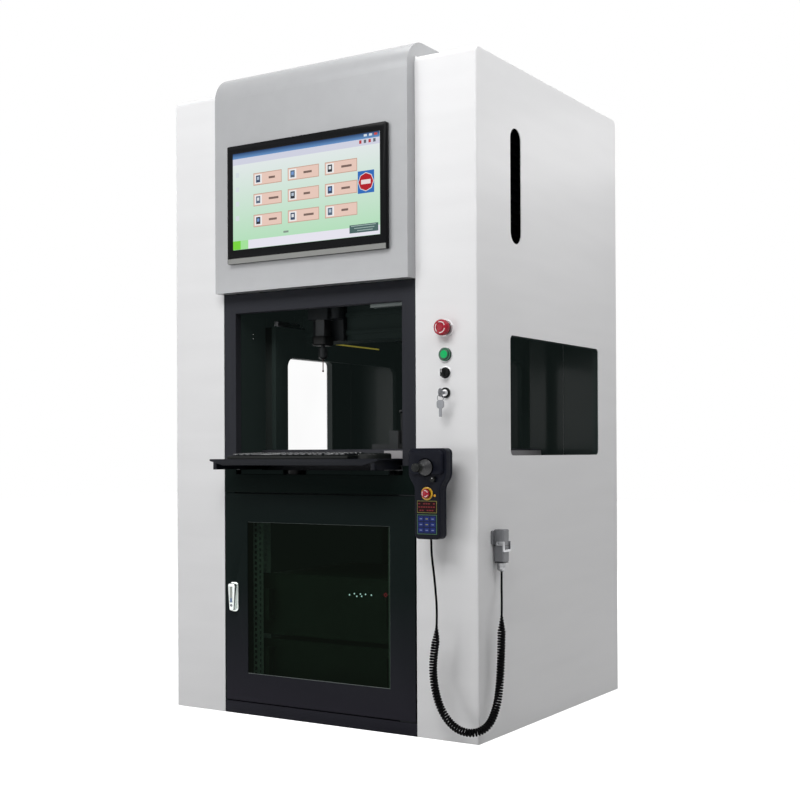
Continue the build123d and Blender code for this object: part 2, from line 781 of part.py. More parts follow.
keyboard_y0 = tray_front_y + keyboard_set_back
keyboard_x0 = keyboard_x - keyboard_size[0] / 2
case_profile = Plane((keyboard_x0, keyboard_y0, tray_top), x_dir=(0, 1, 0), z_dir=(1, 0, 0)) * make_face(Polyline(
    (0, 0), (keyboard_size[1], 0), (keyboard_size[1], keyboard_size[2]), (0, keyboard_size[2] * 0.7), close=True))
node("keyboard_case", extrude(case_profile, keyboard_size[0]))
key_slope = keyboard_size[2] * 0.3 / keyboard_size[1]
row_pitch = (keyboard_size[1] - 2 * (key_pitch - key_size)) / key_rows
keys = []
space_start = (key_columns - space_bar_keys) // 2 - 2
for row in range(key_rows):
    key_y = keyboard_y0 + (key_pitch - key_size) + (row + 0.5) * row_pitch
    seat = tray_top + keyboard_size[2] * 0.7 + key_slope * (key_y - keyboard_y0 + key_size / 2) + bridge_y_gap
    column = 0
    while column < key_columns:
        span = space_bar_keys if row == 0 and column == space_start else 1
        key_x0 = keyboard_x0 + (keyboard_size[0] - key_columns * key_pitch) / 2 + column * key_pitch
        keys.append(block(key_x0 + (key_pitch - key_size) / 2, key_x0 + span * key_pitch - (key_pitch - key_size) / 2,
                          key_y - key_size / 2, key_y + key_size / 2, seat, seat + key_height))
        column += span
node("keyboard_keys", *keys)
mouse_y = keyboard_y0 + mouse_size[1] / 2
mouse = Pos(mouse_x, mouse_y, tray_top + mouse_size[2] / 2) * Box(*mouse_size)
mouse = fillet(mouse.edges().filter_by(Axis.Z), mouse_size[0] * 0.4)
mouse = fillet(mouse.faces().sort_by(Axis.Z)[-1].edges(), mouse_size[2] * 0.4)
node("mouse", mouse)

# Machine base on its mounts
base_bottom = base_top - base_thickness
base_half = base_width / 2
base = block(-base_half, base_half, base_front_y, base_back_y, base_bottom, base_top)
base = chamfer(base.faces().sort_by(Axis.Z)[-1].edges(), base_edge)
for x, y in [(sx * table_thread_x, sy * table_thread_y) for sx in (-1, 1) for sy in (-1, 1)]:
    base -= cylinder_z(x, y + window_middle_y, base_top - table_thread_depth, base_top + sheet, table_thread_radius)
node("machine_base", base)
feet = []
for x in (-base_half + mount_inset, base_half - mount_inset):
    for y in (base_front_y + mount_inset, base_back_y - mount_inset):
        feet.append(cylinder_z(x, y, frame_height + deck_thickness, base_bottom, mount_radius))
node("vibration_mounts", *feet)

# Gantry walls: a portal each, with a rail on top
wall_outer = wall_inner + wall_thickness
wall = block(wall_inner, wall_outer, base_front_y, base_back_y, base_top, wall_top)
hole_length = wall_opening_back - wall_opening_front
hole_height = 2 * (wall_opening_top - base_top)
hole = rounded_x((wall_opening_front + wall_opening_back) / 2, base_top, wall_inner - sheet, wall_outer + sheet,
                 hole_length, hole_height, wall_opening_radius)
wall -= hole
node("gantry_walls", wall, mirrored(wall))
rail_mid = wall_inner + wall_thickness / 2
guide_rail = block(rail_mid - rail_size / 2, rail_mid + rail_size / 2, base_front_y + rail_margin,
                   base_back_y - rail_margin, wall_top, wall_top + rail_size)
groove = rail_size / 4
for side in (-1, 1):
    x = rail_mid + side * rail_size / 2
    guide_rail -= block(x - groove / 2, x + groove / 2, base_front_y, base_back_y, wall_top + rail_size / 2,
                        wall_top + rail_size / 2 + groove)
node("y_rails", guide_rail, mirrored(guide_rail))
node("y_scale", block(-wall_inner, -wall_inner + scale_thickness, scale_y - scale_length / 2,
                      scale_y + scale_length / 2, scale_z - scale_height / 2, scale_z + scale_height / 2))

# Energy chain lying in its trough outside the left wall
trough_x0 = chain_x - chain_width / 2 - trough_thickness
trough_x1 = chain_x + chain_width / 2
trough = block(trough_x0, trough_x1, chain_front_y, chain_back_y, chain_low - trough_thickness, chain_low)
trough += block(trough_x0, trough_x0 + trough_thickness, chain_front_y, chain_back_y, chain_low - trough_thickness,
                chain_low + trough_lip)
wall_plate = block(-wall_outer - trough_thickness, -wall_outer, chain_front_y, base_back_y - rail_margin,
                   wall_top - 3 * trough_lip, wall_top - trough_lip / 2)
wall_arm = block(trough_x1 - trough_thickness, -wall_outer, chain_front_y, base_back_y - rail_margin,
                 wall_top - trough_lip, wall_top - trough_lip / 2)
riser = block(trough_x1 - trough_thickness, trough_x1, chain_front_y, base_back_y - rail_margin,
              wall_top - trough_lip, chain_low)
trough += wall_plate + wall_arm + riser
links = []
chain_rise = chain_link_height + chain_gap
chain_count = int((chain_back_y - chain_front_y - chain_rise) // chain_pitch)
for i in range(chain_count):
    y0 = chain_front_y + chain_rise + i * chain_pitch
    for level in (0, 1):
        z0 = chain_low + level * chain_rise
        link = block(chain_x - chain_width / 2, chain_x + chain_width / 2, y0, y0 + chain_pitch, z0,
                     z0 + chain_link_height)
        link -= block(chain_x - chain_width / 2 + chain_wall, chain_x + chain_width / 2 - chain_wall, y0 - sheet,
                      y0 + chain_pitch + sheet, z0 + chain_wall, z0 + chain_link_height + sheet)
        link += block(chain_x - chain_width / 2, chain_x + chain_width / 2, y0 + chain_wall,
                      y0 + chain_pitch - chain_wall, z0 + chain_link_height - chain_wall, z0 + chain_link_height)
        links.append(link)
bend_radius = (chain_rise + chain_link_height) / 2
bend = cylinder_x(chain_front_y + chain_rise, chain_low + bend_radius, chain_x - chain_width / 2,
                  chain_x + chain_width / 2, bend_radius)
bend -= cylinder_x(chain_front_y + chain_rise, chain_low + bend_radius, chain_x - chain_width,
                   chain_x + chain_width, bend_radius - chain_link_height)
bend -= block(chain_x - chain_width, chain_x + chain_width, chain_front_y + chain_rise, chain_front_y + 4 * chain_rise,
              chain_low - sheet, chain_low + 3 * chain_rise)
node("energy_chain", trough, bend, *links)

# Bridge: a hollow beam between the walls with a bearing block over each rail
beam_x = wall_inner - sheet * 5
beam_y0 = beam_y - beam_depth / 2
beam_y1 = beam_y + beam_depth / 2
beam = block(-beam_x, beam_x, beam_y0, beam_y1, beam_bottom, beam_bottom + beam_height)
beam -= block(-beam_x + beam_wall, beam_x - beam_wall, beam_y0 + beam_wall, beam_y1 + 2 * beam_wall,
              beam_bottom + beam_wall, beam_bottom + beam_height - beam_wall)
for rise in x_rail_rise:
    beam += block(-beam_x, beam_x, beam_y0 - x_rail_proud, beam_y0, beam_bottom + rise,
                  beam_bottom + rise + x_rail_height)
for side in (-1, 1):
    bearing = block(side * (rail_mid - bearing_width / 2), side * (rail_mid + bearing_width / 2),
                    beam_y - bearing_length / 2, beam_y + bearing_length / 2, bearing_bottom, bearing_top)
    bearing += block(side * (beam_x - beam_wall), side * (rail_mid - bearing_width / 2 + beam_wall), beam_y0, beam_y1,
                     bearing_bottom, bearing_top)
    bearing -= block(side * (rail_mid - rail_size / 2 - bearing_gap), side * (rail_mid + rail_size / 2 + bearing_gap),
                     beam_y - bearing_length, beam_y + bearing_length, bearing_bottom - sheet,
                     wall_top + rail_size + bearing_gap)
    beam += bearing
node("bridge_beam", beam)

# X carriage with the guide of the ram and its motor
carriage_y1 = beam_y0 - carriage_gap
carriage_y0 = carriage_y1 - carriage_thickness
carriage_bottom = beam_bottom - carriage_gap
carriage = block(carriage_x - carriage_width / 2, carriage_x + carriage_width / 2, carriage_y0, carriage_y1,
                 carriage_bottom, carriage_bottom + carriage_height)
for rise in x_rail_rise:
    carriage -= block(carriage_x - carriage_width, carriage_x + carriage_width,
                      beam_y0 - x_rail_proud - carriage_gap, beam_y0, beam_bottom + rise - carriage_gap,
                      beam_bottom + rise + x_rail_height + carriage_gap)
ram_y = carriage_y0 - guide_depth / 2
guide = block(carriage_x - guide_width / 2, carriage_x + guide_width / 2, carriage_y0 - guide_depth, carriage_y0,
              guide_bottom, guide_bottom + guide_height)
guide += block(carriage_x - guide_width / 2, carriage_x + guide_width / 2, carriage_y0, carriage_y1,
               carriage_bottom + carriage_height, guide_bottom + guide_height)
guide += cylinder_z(carriage_x + guide_width / 2 + motor_radius / 2, carriage_y0 - motor_radius, guide_bottom + sheet,
                    guide_bottom + guide_height + motor_height, motor_radius)
ram_hole = ram_size / 2 + ram_gap
guide -= block(carriage_x - ram_hole, carriage_x + ram_hole, ram_y - ram_hole, ram_y + ram_hole,
               guide_bottom - sheet, guide_bottom + guide_height + motor_height + sheet)
node("x_carriage", carriage + guide)

# Ram and probe
ram = rounded_z(carriage_x, ram_y, ram_bottom, ram_bottom + ram_length, ram_size, ram_size, ram_size / 12)
node("z_ram", ram)
head_low = ram_bottom - head_height_probe
probe_mount = rounded_z(carriage_x, ram_y, head_low, ram_bottom, head_size, head_size, head_size / 5)
probe_mount = chamfer(probe_mount.faces().sort_by(Axis.Z)[0].edges(), head_size / 12)
node("probe_head", probe_mount)
probe_top = head_low - bridge_y_gap
probe_low = probe_top - probe_neck - probe_length
ball_z = probe_low - stylus_length
probe_profile = Plane((carriage_x, ram_y, 0), x_dir=(1, 0, 0), z_dir=(0, -1, 0)) * make_face(Polyline(
    (0, probe_top), (probe_neck_radius, probe_top), (probe_neck_radius, probe_top - probe_neck),
    (probe_radius, probe_top - probe_neck), (probe_radius, probe_low + probe_neck),
    (probe_neck_radius, probe_low), (stylus_bore, probe_low), (stylus_bore, probe_low + stylus_seat),
    (0, probe_low + stylus_seat), close=True))
node("touch_probe", revolve(probe_profile, Axis((carriage_x, ram_y, 0), (0, 0, 1))))
stylus = cylinder_z(carriage_x, ram_y, ball_z, probe_low + stylus_seat - stylus_gap, stylus_radius)
node("stylus", stylus + Pos(carriage_x, ram_y, ball_z) * Sphere(ball_radius))

# Reference sphere on its stand
stand = block(stand_x - stand_size[0] / 2, stand_x + stand_size[0] / 2, stand_y - stand_size[1] / 2,
              stand_y + stand_size[1] / 2, base_top, base_top + stand_size[2])
stand_top = base_top + stand_size[2]
stand += block(stand_post_x - stand_post[0] / 2, stand_post_x + stand_post[0] / 2, stand_y - stand_post[1] / 2,
               stand_y + stand_post[1] / 2, stand_top, stand_top + stand_post[2])
stem = cylinder_z(stem_x, stand_y, stand_top, stand_top + stem_height, stem_radius)
stem += Pos(stem_x, stand_y, stand_top + stem_height) * Sphere(sphere_radius)
node("reference_sphere", stand + stem)

# Controls: collars fixed in the casing
def collar(z, radius, bore):
    """A round bezel on the casing's front with its barrel through the hole."""
    ring = cylinder_y(control_x, z, front_y - collar_depth, front_y, radius)
    ring = chamfer(ring.faces().sort_by(Axis.Y)[0].edges(), collar_depth / 5)
    ring += cylinder_y(control_x, z, front_y, front_y + control_barrel_length, control_barrel_radius)
    return ring - cylinder_y(control_x, z, front_y - 2 * collar_depth, front_y + control_barrel_length / 2, bore)


start_bezel = collar(start_z, start_bezel_radius, start_stem_radius + running_gap)
start_bezel -= cylinder_y(control_x, start_z, front_y - 2 * collar_depth, front_y - collar_depth + start_recess,
                          start_button_radius + running_gap)
node("control_bezels", collar(stop_z, stop_collar_radius, stop_stem_radius + running_gap), start_bezel,
     collar(selector_z, selector_bezel_radius, selector_knob_radius / 1.5 + running_gap),
     collar(lock_z, lock_bezel_radius, lock_core_radius + running_gap))

collar_y = front_y - collar_depth
cap_back_y = collar_y - stop_travel - stop_clearance
stop_cap = cylinder_y(control_x, stop_z, cap_back_y - stop_cap_height, cap_back_y, stop_cap_radius)
stop_cap = fillet(stop_cap.faces().sort_by(Axis.Y)[0].edges(), stop_cap_height * 0.55)
stop_cap += cylinder_y(control_x, stop_z, cap_back_y, front_y, stop_stem_radius)
node("stop_button", stop_cap)

button_front_y = collar_y - start_proud
start_button = cylinder_y(control_x, start_z, button_front_y, collar_y + (start_recess - start_travel) / 2,
                          start_button_radius)
start_button = chamfer(start_button.faces().sort_by(Axis.Y)[0].edges(), 1)
start_stem_end = front_y + control_barrel_length / 2 - start_travel - 1
start_button += cylinder_y(control_x, start_z, button_front_y + 1, start_stem_end, start_stem_radius)
node("start_button", start_button)

selector_y = collar_y - turn_gap
knob = cylinder_y(control_x, selector_z, selector_y - selector_knob_height, selector_y, selector_knob_radius)
knob = chamfer(knob.faces().sort_by(Axis.Y)[0].edges(), 1)
knob += block(control_x - selector_grip[0] / 2, control_x + selector_grip[0] / 2,
              selector_y - selector_knob_height - selector_grip[1], selector_y - selector_knob_height,
              selector_z - selector_knob_radius * 0.8, selector_z + selector_knob_radius * 0.8)
knob += cylinder_y(control_x, selector_z, selector_y, front_y, selector_knob_radius / 1.5)
node("selector_knob", knob)

# Key in the lock, and the ring with the spare key
core_y = collar_y - turn_gap
lock_key = cylinder_y(control_x, lock_z, core_y, front_y, lock_core_radius)
bow_y = core_y - key_blade[2]
lock_key += block(control_x - key_blade[0] / 2, control_x + key_blade[0] / 2, bow_y, core_y,
                  lock_z - key_blade[1] / 2, lock_z + key_blade[1] / 2)
lock_key += cylinder_x(bow_y, lock_z, control_x - key_blade[0] / 2, control_x + key_blade[0] / 2, key_bow_radius)
ring_hole_z = lock_z - key_bow_radius * 0.45
lock_key -= cylinder_x(bow_y, ring_hole_z, control_x - key_blade[0], control_x + key_blade[0], key_bow_hole)
node("switch_key", lock_key)
ring_z = ring_hole_z - key_ring_radius
ring_path = Plane((control_x, bow_y, ring_z), x_dir=(1, 0, 0), z_dir=(0, -1, 0))
ring = sweep(Plane((control_x + key_ring_radius, bow_y, ring_z), z_dir=(0, 0, 1)) * Circle(key_ring_wire),
             path=ring_path * Circle(key_ring_radius).wire())
spare_z = ring_z - key_ring_radius
spare = rounded_y(control_x, spare_z - key_bow_radius + key_ring_wire * 4, bow_y - key_blade[0] / 2,
                  bow_y + key_blade[0] / 2, 2 * key_bow_radius, 2 * key_bow_radius, key_bow_radius * 0.7)
spare += block(control_x - key_blade[1] / 2, control_x + key_blade[1] / 2, bow_y - key_blade[0] / 2,
               bow_y + key_blade[0] / 2, spare_z - spare_key_length, spare_z - key_bow_radius)
spare -= cylinder_y(control_x, spare_z, bow_y - key_blade[0], bow_y + key_blade[0], key_ring_wire + turn_gap)
node("key_ring", ring, spare)

# Side connector: housing on the casing, locking lever, and the hood on the cord
housing_low = plug_top - plug_housing_height
housing = rounded_z(plug_x, plug_y, housing_low, plug_top, plug_depth, plug_width, plug_corner)
housing = chamfer(housing.faces().sort_by(Axis.Z)[-1].edges(), plug_corner / 2)
foot_z = (housing_low + plug_top) / 2
housing += rounded_x(plug_y, foot_z, side_x, side_x + plug_foot[1], plug_foot[0], plug_foot[2], plug_corner)
housing += block(side_x, plug_x, plug_y - plug_width / 2 + plug_corner, plug_y + plug_width / 2 - plug_corner,
                 housing_low, plug_top - plug_corner)
pivot_z = housing_low + lever_pivot_rise
lever_half = plug_width / 2 + lever_gap + lever_wire
housing += cylinder_y(plug_x, pivot_z, plug_y - lever_half, plug_y + lever_half, lever_pin_radius)
node("connector_base", housing)
hood_low = housing_low - plug_hood_height
hood = rounded_z(plug_x, plug_y, hood_low, housing_low, plug_depth, plug_width, plug_corner)
hood = chamfer(hood.faces().sort_by(Axis.Z)[0].edges(), plug_corner * 0.8)
gland_low = hood_low - gland_height
hood += cylinder_z(plug_x, plug_y, gland_low + gland_height / 3, hood_low, gland_radius)
hood += Pos(plug_x, plug_y, gland_low + gland_height / 6) * Cone(lead_diameter * 0.8, gland_radius * 0.85,
                                                                gland_height / 3)
node("connector_hood", hood)
arm_in = plug_width / 2 + lever_gap
lever_front_x = plug_x + plug_depth / 2 + lever_gap
lever_low = pivot_z - lever_drop
lever = block(lever_front_x, lever_front_x + lever_wire, plug_y - lever_half, plug_y + lever_half, lever_low,
              lever_low + lever_wire * 2)
for side in (-1, 1):
    arm = block(plug_x - lever_pin_radius * 2, lever_front_x + lever_wire, plug_y + side * arm_in,
                plug_y + side * lever_half, lever_low, pivot_z + lever_pin_radius * 2)
    arm -= block(plug_x - lever_pin_radius * 3, lever_front_x - lever_wire, plug_y + side * (arm_in - sheet),
                 plug_y + side * (lever_half + sheet), lever_low - sheet, pivot_z - lever_pin_radius * 2.4)
    arm -= cylinder_y(plug_x, pivot_z, plug_y + side * (arm_in - sheet), plug_y + side * (lever_half + sheet),
                      lever_pin_radius + running_gap)
    lever += arm
node("connector_lever", lever)

# Hand control: two moulded shells, joystick, stop button, knob and membrane panels
pendant_top = pendant_bottom + pendant_height
head_z0 = pendant_top - pendant_head_height
shoulder_z0 = head_z0 - pendant_shoulder


def pendant_solid(y0, y1):
    """The outline between two depths."""
    half_grip, half_head = pendant_body_width / 2, pendant_head_width / 2
    shoulder = Plane((pendant_x, y1, 0), x_dir=(1, 0, 0), z_dir=(0, -1, 0))
    grip = RectangleRounded(2 * half_grip, shoulder_z0 - pendant_bottom + 2 * pendant_corner, pendant_corner)
    grip = Pos(0, (pendant_bottom + shoulder_z0 + 2 * pendant_corner) / 2) * grip
    top = RectangleRounded(2 * half_head, pendant_head_height, pendant_corner)
    top = Pos(0, pendant_top - pendant_head_height / 2) * top
    neck_low, neck_high = shoulder_z0, head_z0 + pendant_corner
    neck = make_face(Spline((half_grip, neck_low), (half_head, neck_high), tangents=((0, 1), (0, 1)))
                     + Line((half_head, neck_high), (-half_head, neck_high))
                     + Spline((-half_head, neck_high), (-half_grip, neck_low), tangents=((0, -1), (0, -1)))
                     + Line((-half_grip, neck_low), (half_grip, neck_low)))
    return extrude(shoulder * (grip + top + neck), y1 - y0)


seam_y = pendant_back_y - pendant_seam
back_shell = pendant_solid(seam_y, pendant_back_y)
back_shell = chamfer(back_shell.faces().sort_by(Axis.Y)[-1].edges(), pendant_corner / 3)
hanger_z1 = hook_z + hook_lip - hook_thickness - hook_gap
hanger_y0 = pendant_back_y
hook_face_y = front_y - hook_thickness
hook_inner_y = pendant_back_y + hook_thickness + hook_gap
hanger = block(pendant_x - hanger_width / 2, pendant_x + hanger_width / 2, hanger_y0,
               hook_inner_y + hook_thickness + hook_gap + hanger_thickness, hanger_z1, hanger_z1 + hanger_thickness)
hanger += block(pendant_x - hanger_width / 2, pendant_x + hanger_width / 2, hook_inner_y + hook_thickness + hook_gap,
                hook_inner_y + hook_thickness + hook_gap + hanger_thickness, hook_z, hanger_z1 + hanger_thickness)
node("pendant_back_shell", back_shell + hanger)
front_shell = pendant_solid(pendant_face_y, seam_y)
front_shell = fillet(front_shell.faces().sort_by(Axis.Y)[0].edges(), pendant_corner / 4)
raised = rounded_y(pendant_x, pendant_top - pendant_head_height / 2, pendant_face_y - pendant_head_proud,
                   pendant_face_y, pendant_head_width - pendant_corner, pendant_head_height - pendant_corner,
                   pendant_corner)
front_shell += fillet(raised.faces().sort_by(Axis.Y)[0].edges(), pendant_corner / 4)
head_face_y = pendant_face_y - pendant_head_proud
front_shell -= cylinder_y(pendant_x, boot_z, head_face_y - sheet, pendant_face_y + boot_cavity,
                          boot_radius + boot_gap)
pin_hole = boot_radius + boot_gap + 2 * gimbal_pin_depth
front_shell -= cylinder_x(pendant_face_y, boot_z, pendant_x - pin_hole, pendant_x + pin_hole,
                          gimbal_pin_radius + running_gap)
front_shell -= cylinder_y(knob_x, knob_z, pendant_face_y - sheet, pendant_face_y + sheet,
                          knob_radius + running_gap)
front_shell -= cylinder_y(pendant_x, pendant_stop_z, pendant_face_y - sheet, seam_y - sheet,
                          pendant_stop_radius * 0.6 + running_gap)
node("pendant_front_shell", front_shell)

# The joystick tilts in a ring; its boot is a ribbed cone whose skirt is part of a ball round the same centre
pivot_y = pendant_face_y
boot_rise = boot_skirt + boot_wall
boot_step = (boot_length - boot_rise) / boot_ribs
skirt_radius = math.sqrt(boot_radius ** 2 - boot_skirt ** 2)
shoulder_radius = math.sqrt(boot_radius ** 2 - boot_rise ** 2)
boot_points = [(skirt_radius, boot_skirt), (shoulder_radius, boot_rise)]
for i in range(boot_ribs):
    rib_radius = shoulder_radius + (boot_tip_radius - shoulder_radius) * (i + 1) / boot_ribs
    boot_points += [(rib_radius - boot_wall / 2, boot_rise + boot_step * (i + 0.3)),
                    (rib_radius, boot_rise + boot_step * (i + 0.6)), (rib_radius, boot_rise + boot_step * (i + 0.9))]
boot_points += [(boot_tip_radius - boot_wall / 2, boot_length), (stick_radius, boot_length),
                (stick_radius, boot_length - boot_wall), (skirt_radius - boot_wall - 1, boot_skirt)]
pivot_plane = Plane((pendant_x, pivot_y, boot_z), x_dir=(1, 0, 0), z_dir=(0, 0, 1))
boot_face = pivot_plane * make_face(Polyline(*[(x, -y) for x, y in boot_points], close=True))
node("joystick_boot", revolve(boot_face, Axis((pendant_x, pivot_y, boot_z), (0, 1, 0))))
gimbal = cylinder_y(pendant_x, boot_z, pivot_y - gimbal_thickness / 2, pivot_y + gimbal_thickness / 2, gimbal_radius)
gimbal -= cylinder_y(pendant_x, boot_z, pivot_y - gimbal_thickness, pivot_y + gimbal_thickness, gimbal_bore)
gimbal -= cylinder_z(pendant_x, pivot_y, boot_z - 2 * gimbal_radius, boot_z + 2 * gimbal_radius,
                     gimbal_pin_radius + running_gap)
pin_reach = boot_radius + boot_gap + gimbal_pin_depth
for side in (-1, 1):
    gimbal += cylinder_x(pivot_y, boot_z, pendant_x + side * (gimbal_bore + 1), pendant_x + side * pin_reach,
                         gimbal_pin_radius)
node("joystick_gimbal", gimbal)
stick = cylinder_y(pendant_x, boot_z, pivot_y - boot_length - 1, pivot_y, stick_radius)
stick += Pos(pendant_x, pivot_y, boot_z) * Sphere(stick_ball)
stick += cylinder_z(pendant_x, pivot_y, boot_z - gimbal_radius + 1, boot_z + gimbal_radius - 1, gimbal_pin_radius)
stick_grip = cylinder_y(pendant_x, boot_z, pivot_y - stick_length, pivot_y - boot_length, stick_grip_radius)
stick_grip = fillet(stick_grip.faces().sort_by(Axis.Y)[0].edges(), stick_grip_radius * 0.6)
stick_grip = fillet(stick_grip.faces().sort_by(Axis.Y)[-1].edges(), stick_grip_radius * 0.2)
node("joystick_handle", stick + stick_grip)

pendant_cap_y = pendant_face_y - panel_thickness - pendant_stop_travel - turn_gap
mini_stop = cylinder_y(pendant_x, pendant_stop_z, pendant_cap_y - pendant_stop_height / 2, pendant_cap_y,
                       pendant_stop_radius)
mini_stop = fillet(mini_stop.faces().sort_by(Axis.Y)[0].edges(), pendant_stop_height / 4)
mini_stop += cylinder_y(pendant_x, pendant_stop_z, pendant_cap_y, seam_y - 3 * sheet, pendant_stop_radius * 0.6)
node("pendant_stop", mini_stop)
knob_base_y = pendant_face_y + sheet - turn_gap
node("pendant_knob", cylinder_y(knob_x, knob_z, pendant_face_y - knob_height, knob_base_y, knob_radius))
panel_y = pendant_face_y - panel_thickness
panels = [cylinder_y(pendant_x, pendant_stop_z, panel_y, pendant_face_y, pendant_stop_collar)
          - cylinder_y(pendant_x, pendant_stop_z, panel_y - sheet, pendant_face_y + sheet,
                       pendant_stop_radius * 0.6 + running_gap)]
for z, size in ((display_z, display_size), (keypad_z, keypad_size)):
    panels.append(rounded_y(pendant_x, z, panel_y, pendant_face_y, size[0], size[1], panel_thickness * 2))
for i in range(3):
    for j in range(3):
        key_x = pendant_x + (i - 1) * membrane_step[0]
        key_z = keypad_z + (j - 1) * membrane_step[1]
        panels.append(block(key_x - membrane_key[0] / 2, key_x + membrane_key[0] / 2, panel_y - membrane_key[2],
                            panel_y, key_z - membrane_key[1] / 2, key_z + membrane_key[1] / 2))
node("pendant_panels", *panels)

hook = block(pendant_x - hook_width / 2, pendant_x + hook_width / 2, hook_face_y, front_y, hook_z - hook_width,
             hook_z + hook_width)
hook += block(pendant_x - hook_width / 2, pendant_x + hook_width / 2, hook_inner_y, hook_face_y, hook_z - hook_width,
              hook_z - hook_width + hook_thickness)
hook += block(pendant_x - hook_width / 2, pendant_x + hook_width / 2, hook_inner_y, hook_inner_y + hook_thickness,
              hook_z - hook_width, hanger_z1 - hook_gap)
node("pendant_hook", hook)


# Cords: straight runs joined by arcs, each arc as large as its runs allow
def cord_path(points):
    """The route with a radius at each corner of 0.45 of the shorter run over the tangent of half the turn."""
    points = [(side_x + x, front_y + y, z) for x, y, z in points]
    radii = []
    for before, here, after in zip(points, points[1:], points[2:]):
        run_in = Vector(here) - Vector(before)
        run_out = Vector(after) - Vector(here)
        turn = math.radians(run_in.get_angle(run_out))
        radii.append(0.45 * min(run_in.length, run_out.length) / math.tan(turn / 2))
    print("radii", [round(r) for r in radii])
    return FilletPolyline(*points, radius=radii)


def cord_tube(points, diameter):
    """A round tube along a route."""
    path = cord_path(points)
    tube = sweep(Plane(origin=path @ 0, z_dir=path % 0) * Circle(diameter / 2), path=path)
    print("length", round(path.length), "volume ratio",
          round(tube.volume / (path.length * math.pi * diameter ** 2 / 4), 4))
    return tube


node("cord_upper_lead", cord_tube(lead_points, lead_diameter))
node("curly_cord", cord_tube(coil_points, coil_diameter) + cord_tube(plug_points, lead_diameter))

os.makedirs("parts", exist_ok=True)
for name, shape in parts.items():
    export_step(shape, f"parts/{name}.step")
print(len(parts), "nodes")
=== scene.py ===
"""Looks of a coordinate measuring machine in its cabinet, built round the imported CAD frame."""
import math

import bpy
from mathutils import Matrix, Vector


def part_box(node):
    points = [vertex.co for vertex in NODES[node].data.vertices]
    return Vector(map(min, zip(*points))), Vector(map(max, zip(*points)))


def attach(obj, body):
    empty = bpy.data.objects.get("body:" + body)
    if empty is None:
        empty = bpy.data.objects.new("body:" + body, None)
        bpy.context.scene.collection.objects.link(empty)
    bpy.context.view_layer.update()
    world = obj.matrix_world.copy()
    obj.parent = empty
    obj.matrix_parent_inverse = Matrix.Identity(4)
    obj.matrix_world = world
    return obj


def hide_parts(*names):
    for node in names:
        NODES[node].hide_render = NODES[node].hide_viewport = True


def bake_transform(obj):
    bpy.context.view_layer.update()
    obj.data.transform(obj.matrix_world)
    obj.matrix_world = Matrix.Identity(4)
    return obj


bl_info = {
    "name": "Coordinate Measuring Machine",
    "version": (1, 0, 0),
    "blender": (4, 5, 0),
    "location": "View3D > Sidebar > Measuring Machine",
    "description": "Dresses the CAD frame of a cabinet coordinate measuring machine",
    "category": "Object",
}

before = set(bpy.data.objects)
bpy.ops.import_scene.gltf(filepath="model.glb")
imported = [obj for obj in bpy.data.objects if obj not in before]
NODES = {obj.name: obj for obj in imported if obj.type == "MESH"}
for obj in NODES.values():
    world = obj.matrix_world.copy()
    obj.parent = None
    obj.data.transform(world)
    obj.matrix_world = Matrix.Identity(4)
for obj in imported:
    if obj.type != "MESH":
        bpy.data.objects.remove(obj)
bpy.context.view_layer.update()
MM = 0.001

# Places that several pieces share, in millimetres: the cabinet's front face, the middle of the right column
# with its four controls, the hand control's face, and the front of the rack's ears
FRONT_Y = -463
COLUMN_X = 417
STOP_Z, START_Z, SELECTOR_Z, KEY_Z = 1074, 1005, 957, 905
PENDANT_X, PENDANT_FACE, PENDANT_STOP_Z, JOYSTICK_Z = 405, -541, 645, 712
EAR_Y = -425.2
# How far apart corners may lie and still be one, in metres
RING_WELD, CAD_WELD = 1e-6, 1e-5
# Printed marks stand proud by this much, and their three bands lie at these angles round a button's middle
INK = 0.15 * MM
ARROW_SPANS = ((20, 100), (140, 220), (260, 340))


# Small helpers for objects
def choose(*pieces):
    """These pieces alone are selected, and the first of them is active."""
    bpy.ops.object.select_all(action="DESELECT")
    for piece in pieces:
        piece.select_set(True)
    if pieces:
        bpy.context.view_layer.objects.active = pieces[0]


def named(name):
    """The active object under its own name."""
    piece = bpy.context.active_object
    piece.name = name
    piece.data.name = name
    return piece


def apply_place(piece):
    """Move, turn and size go into the mesh."""
    choose(piece)
    bpy.ops.object.transform_apply(location=True, rotation=True, scale=True)
    return piece


def apply_modifier(piece, kind, **settings):
    """One modifier, added and applied."""
    choose(piece)
    modifier = piece.modifiers.new(kind.title(), kind)
    for key, value in settings.items():
        setattr(modifier, key, value)
    bpy.ops.object.modifier_apply(modifier=modifier.name)
    return piece


def rounded(piece, width, segments=3, angle=35):
    """Edges sharper than the angle get a small radius."""
    return apply_modifier(piece, "BEVEL", width=width, segments=segments, limit_method="ANGLE",
                          angle_limit=math.radians(angle), harden_normals=False)


def smooth(piece, angle=35):
    """Smooth shading that keeps the sharp edges."""
    choose(piece)
    bpy.ops.object.shade_smooth_by_angle(angle=math.radians(angle))
    return piece


def slab(name, low, high, width=0.0, segments=2):
    """A box between two corners with rounded edges."""
    choose()
    low, high = Vector(low), Vector(high)
    bpy.ops.mesh.primitive_cube_add(size=1, location=(low + high) / 2, scale=high - low)
    piece = apply_place(named(name))
    return rounded(piece, width, segments) if width else piece


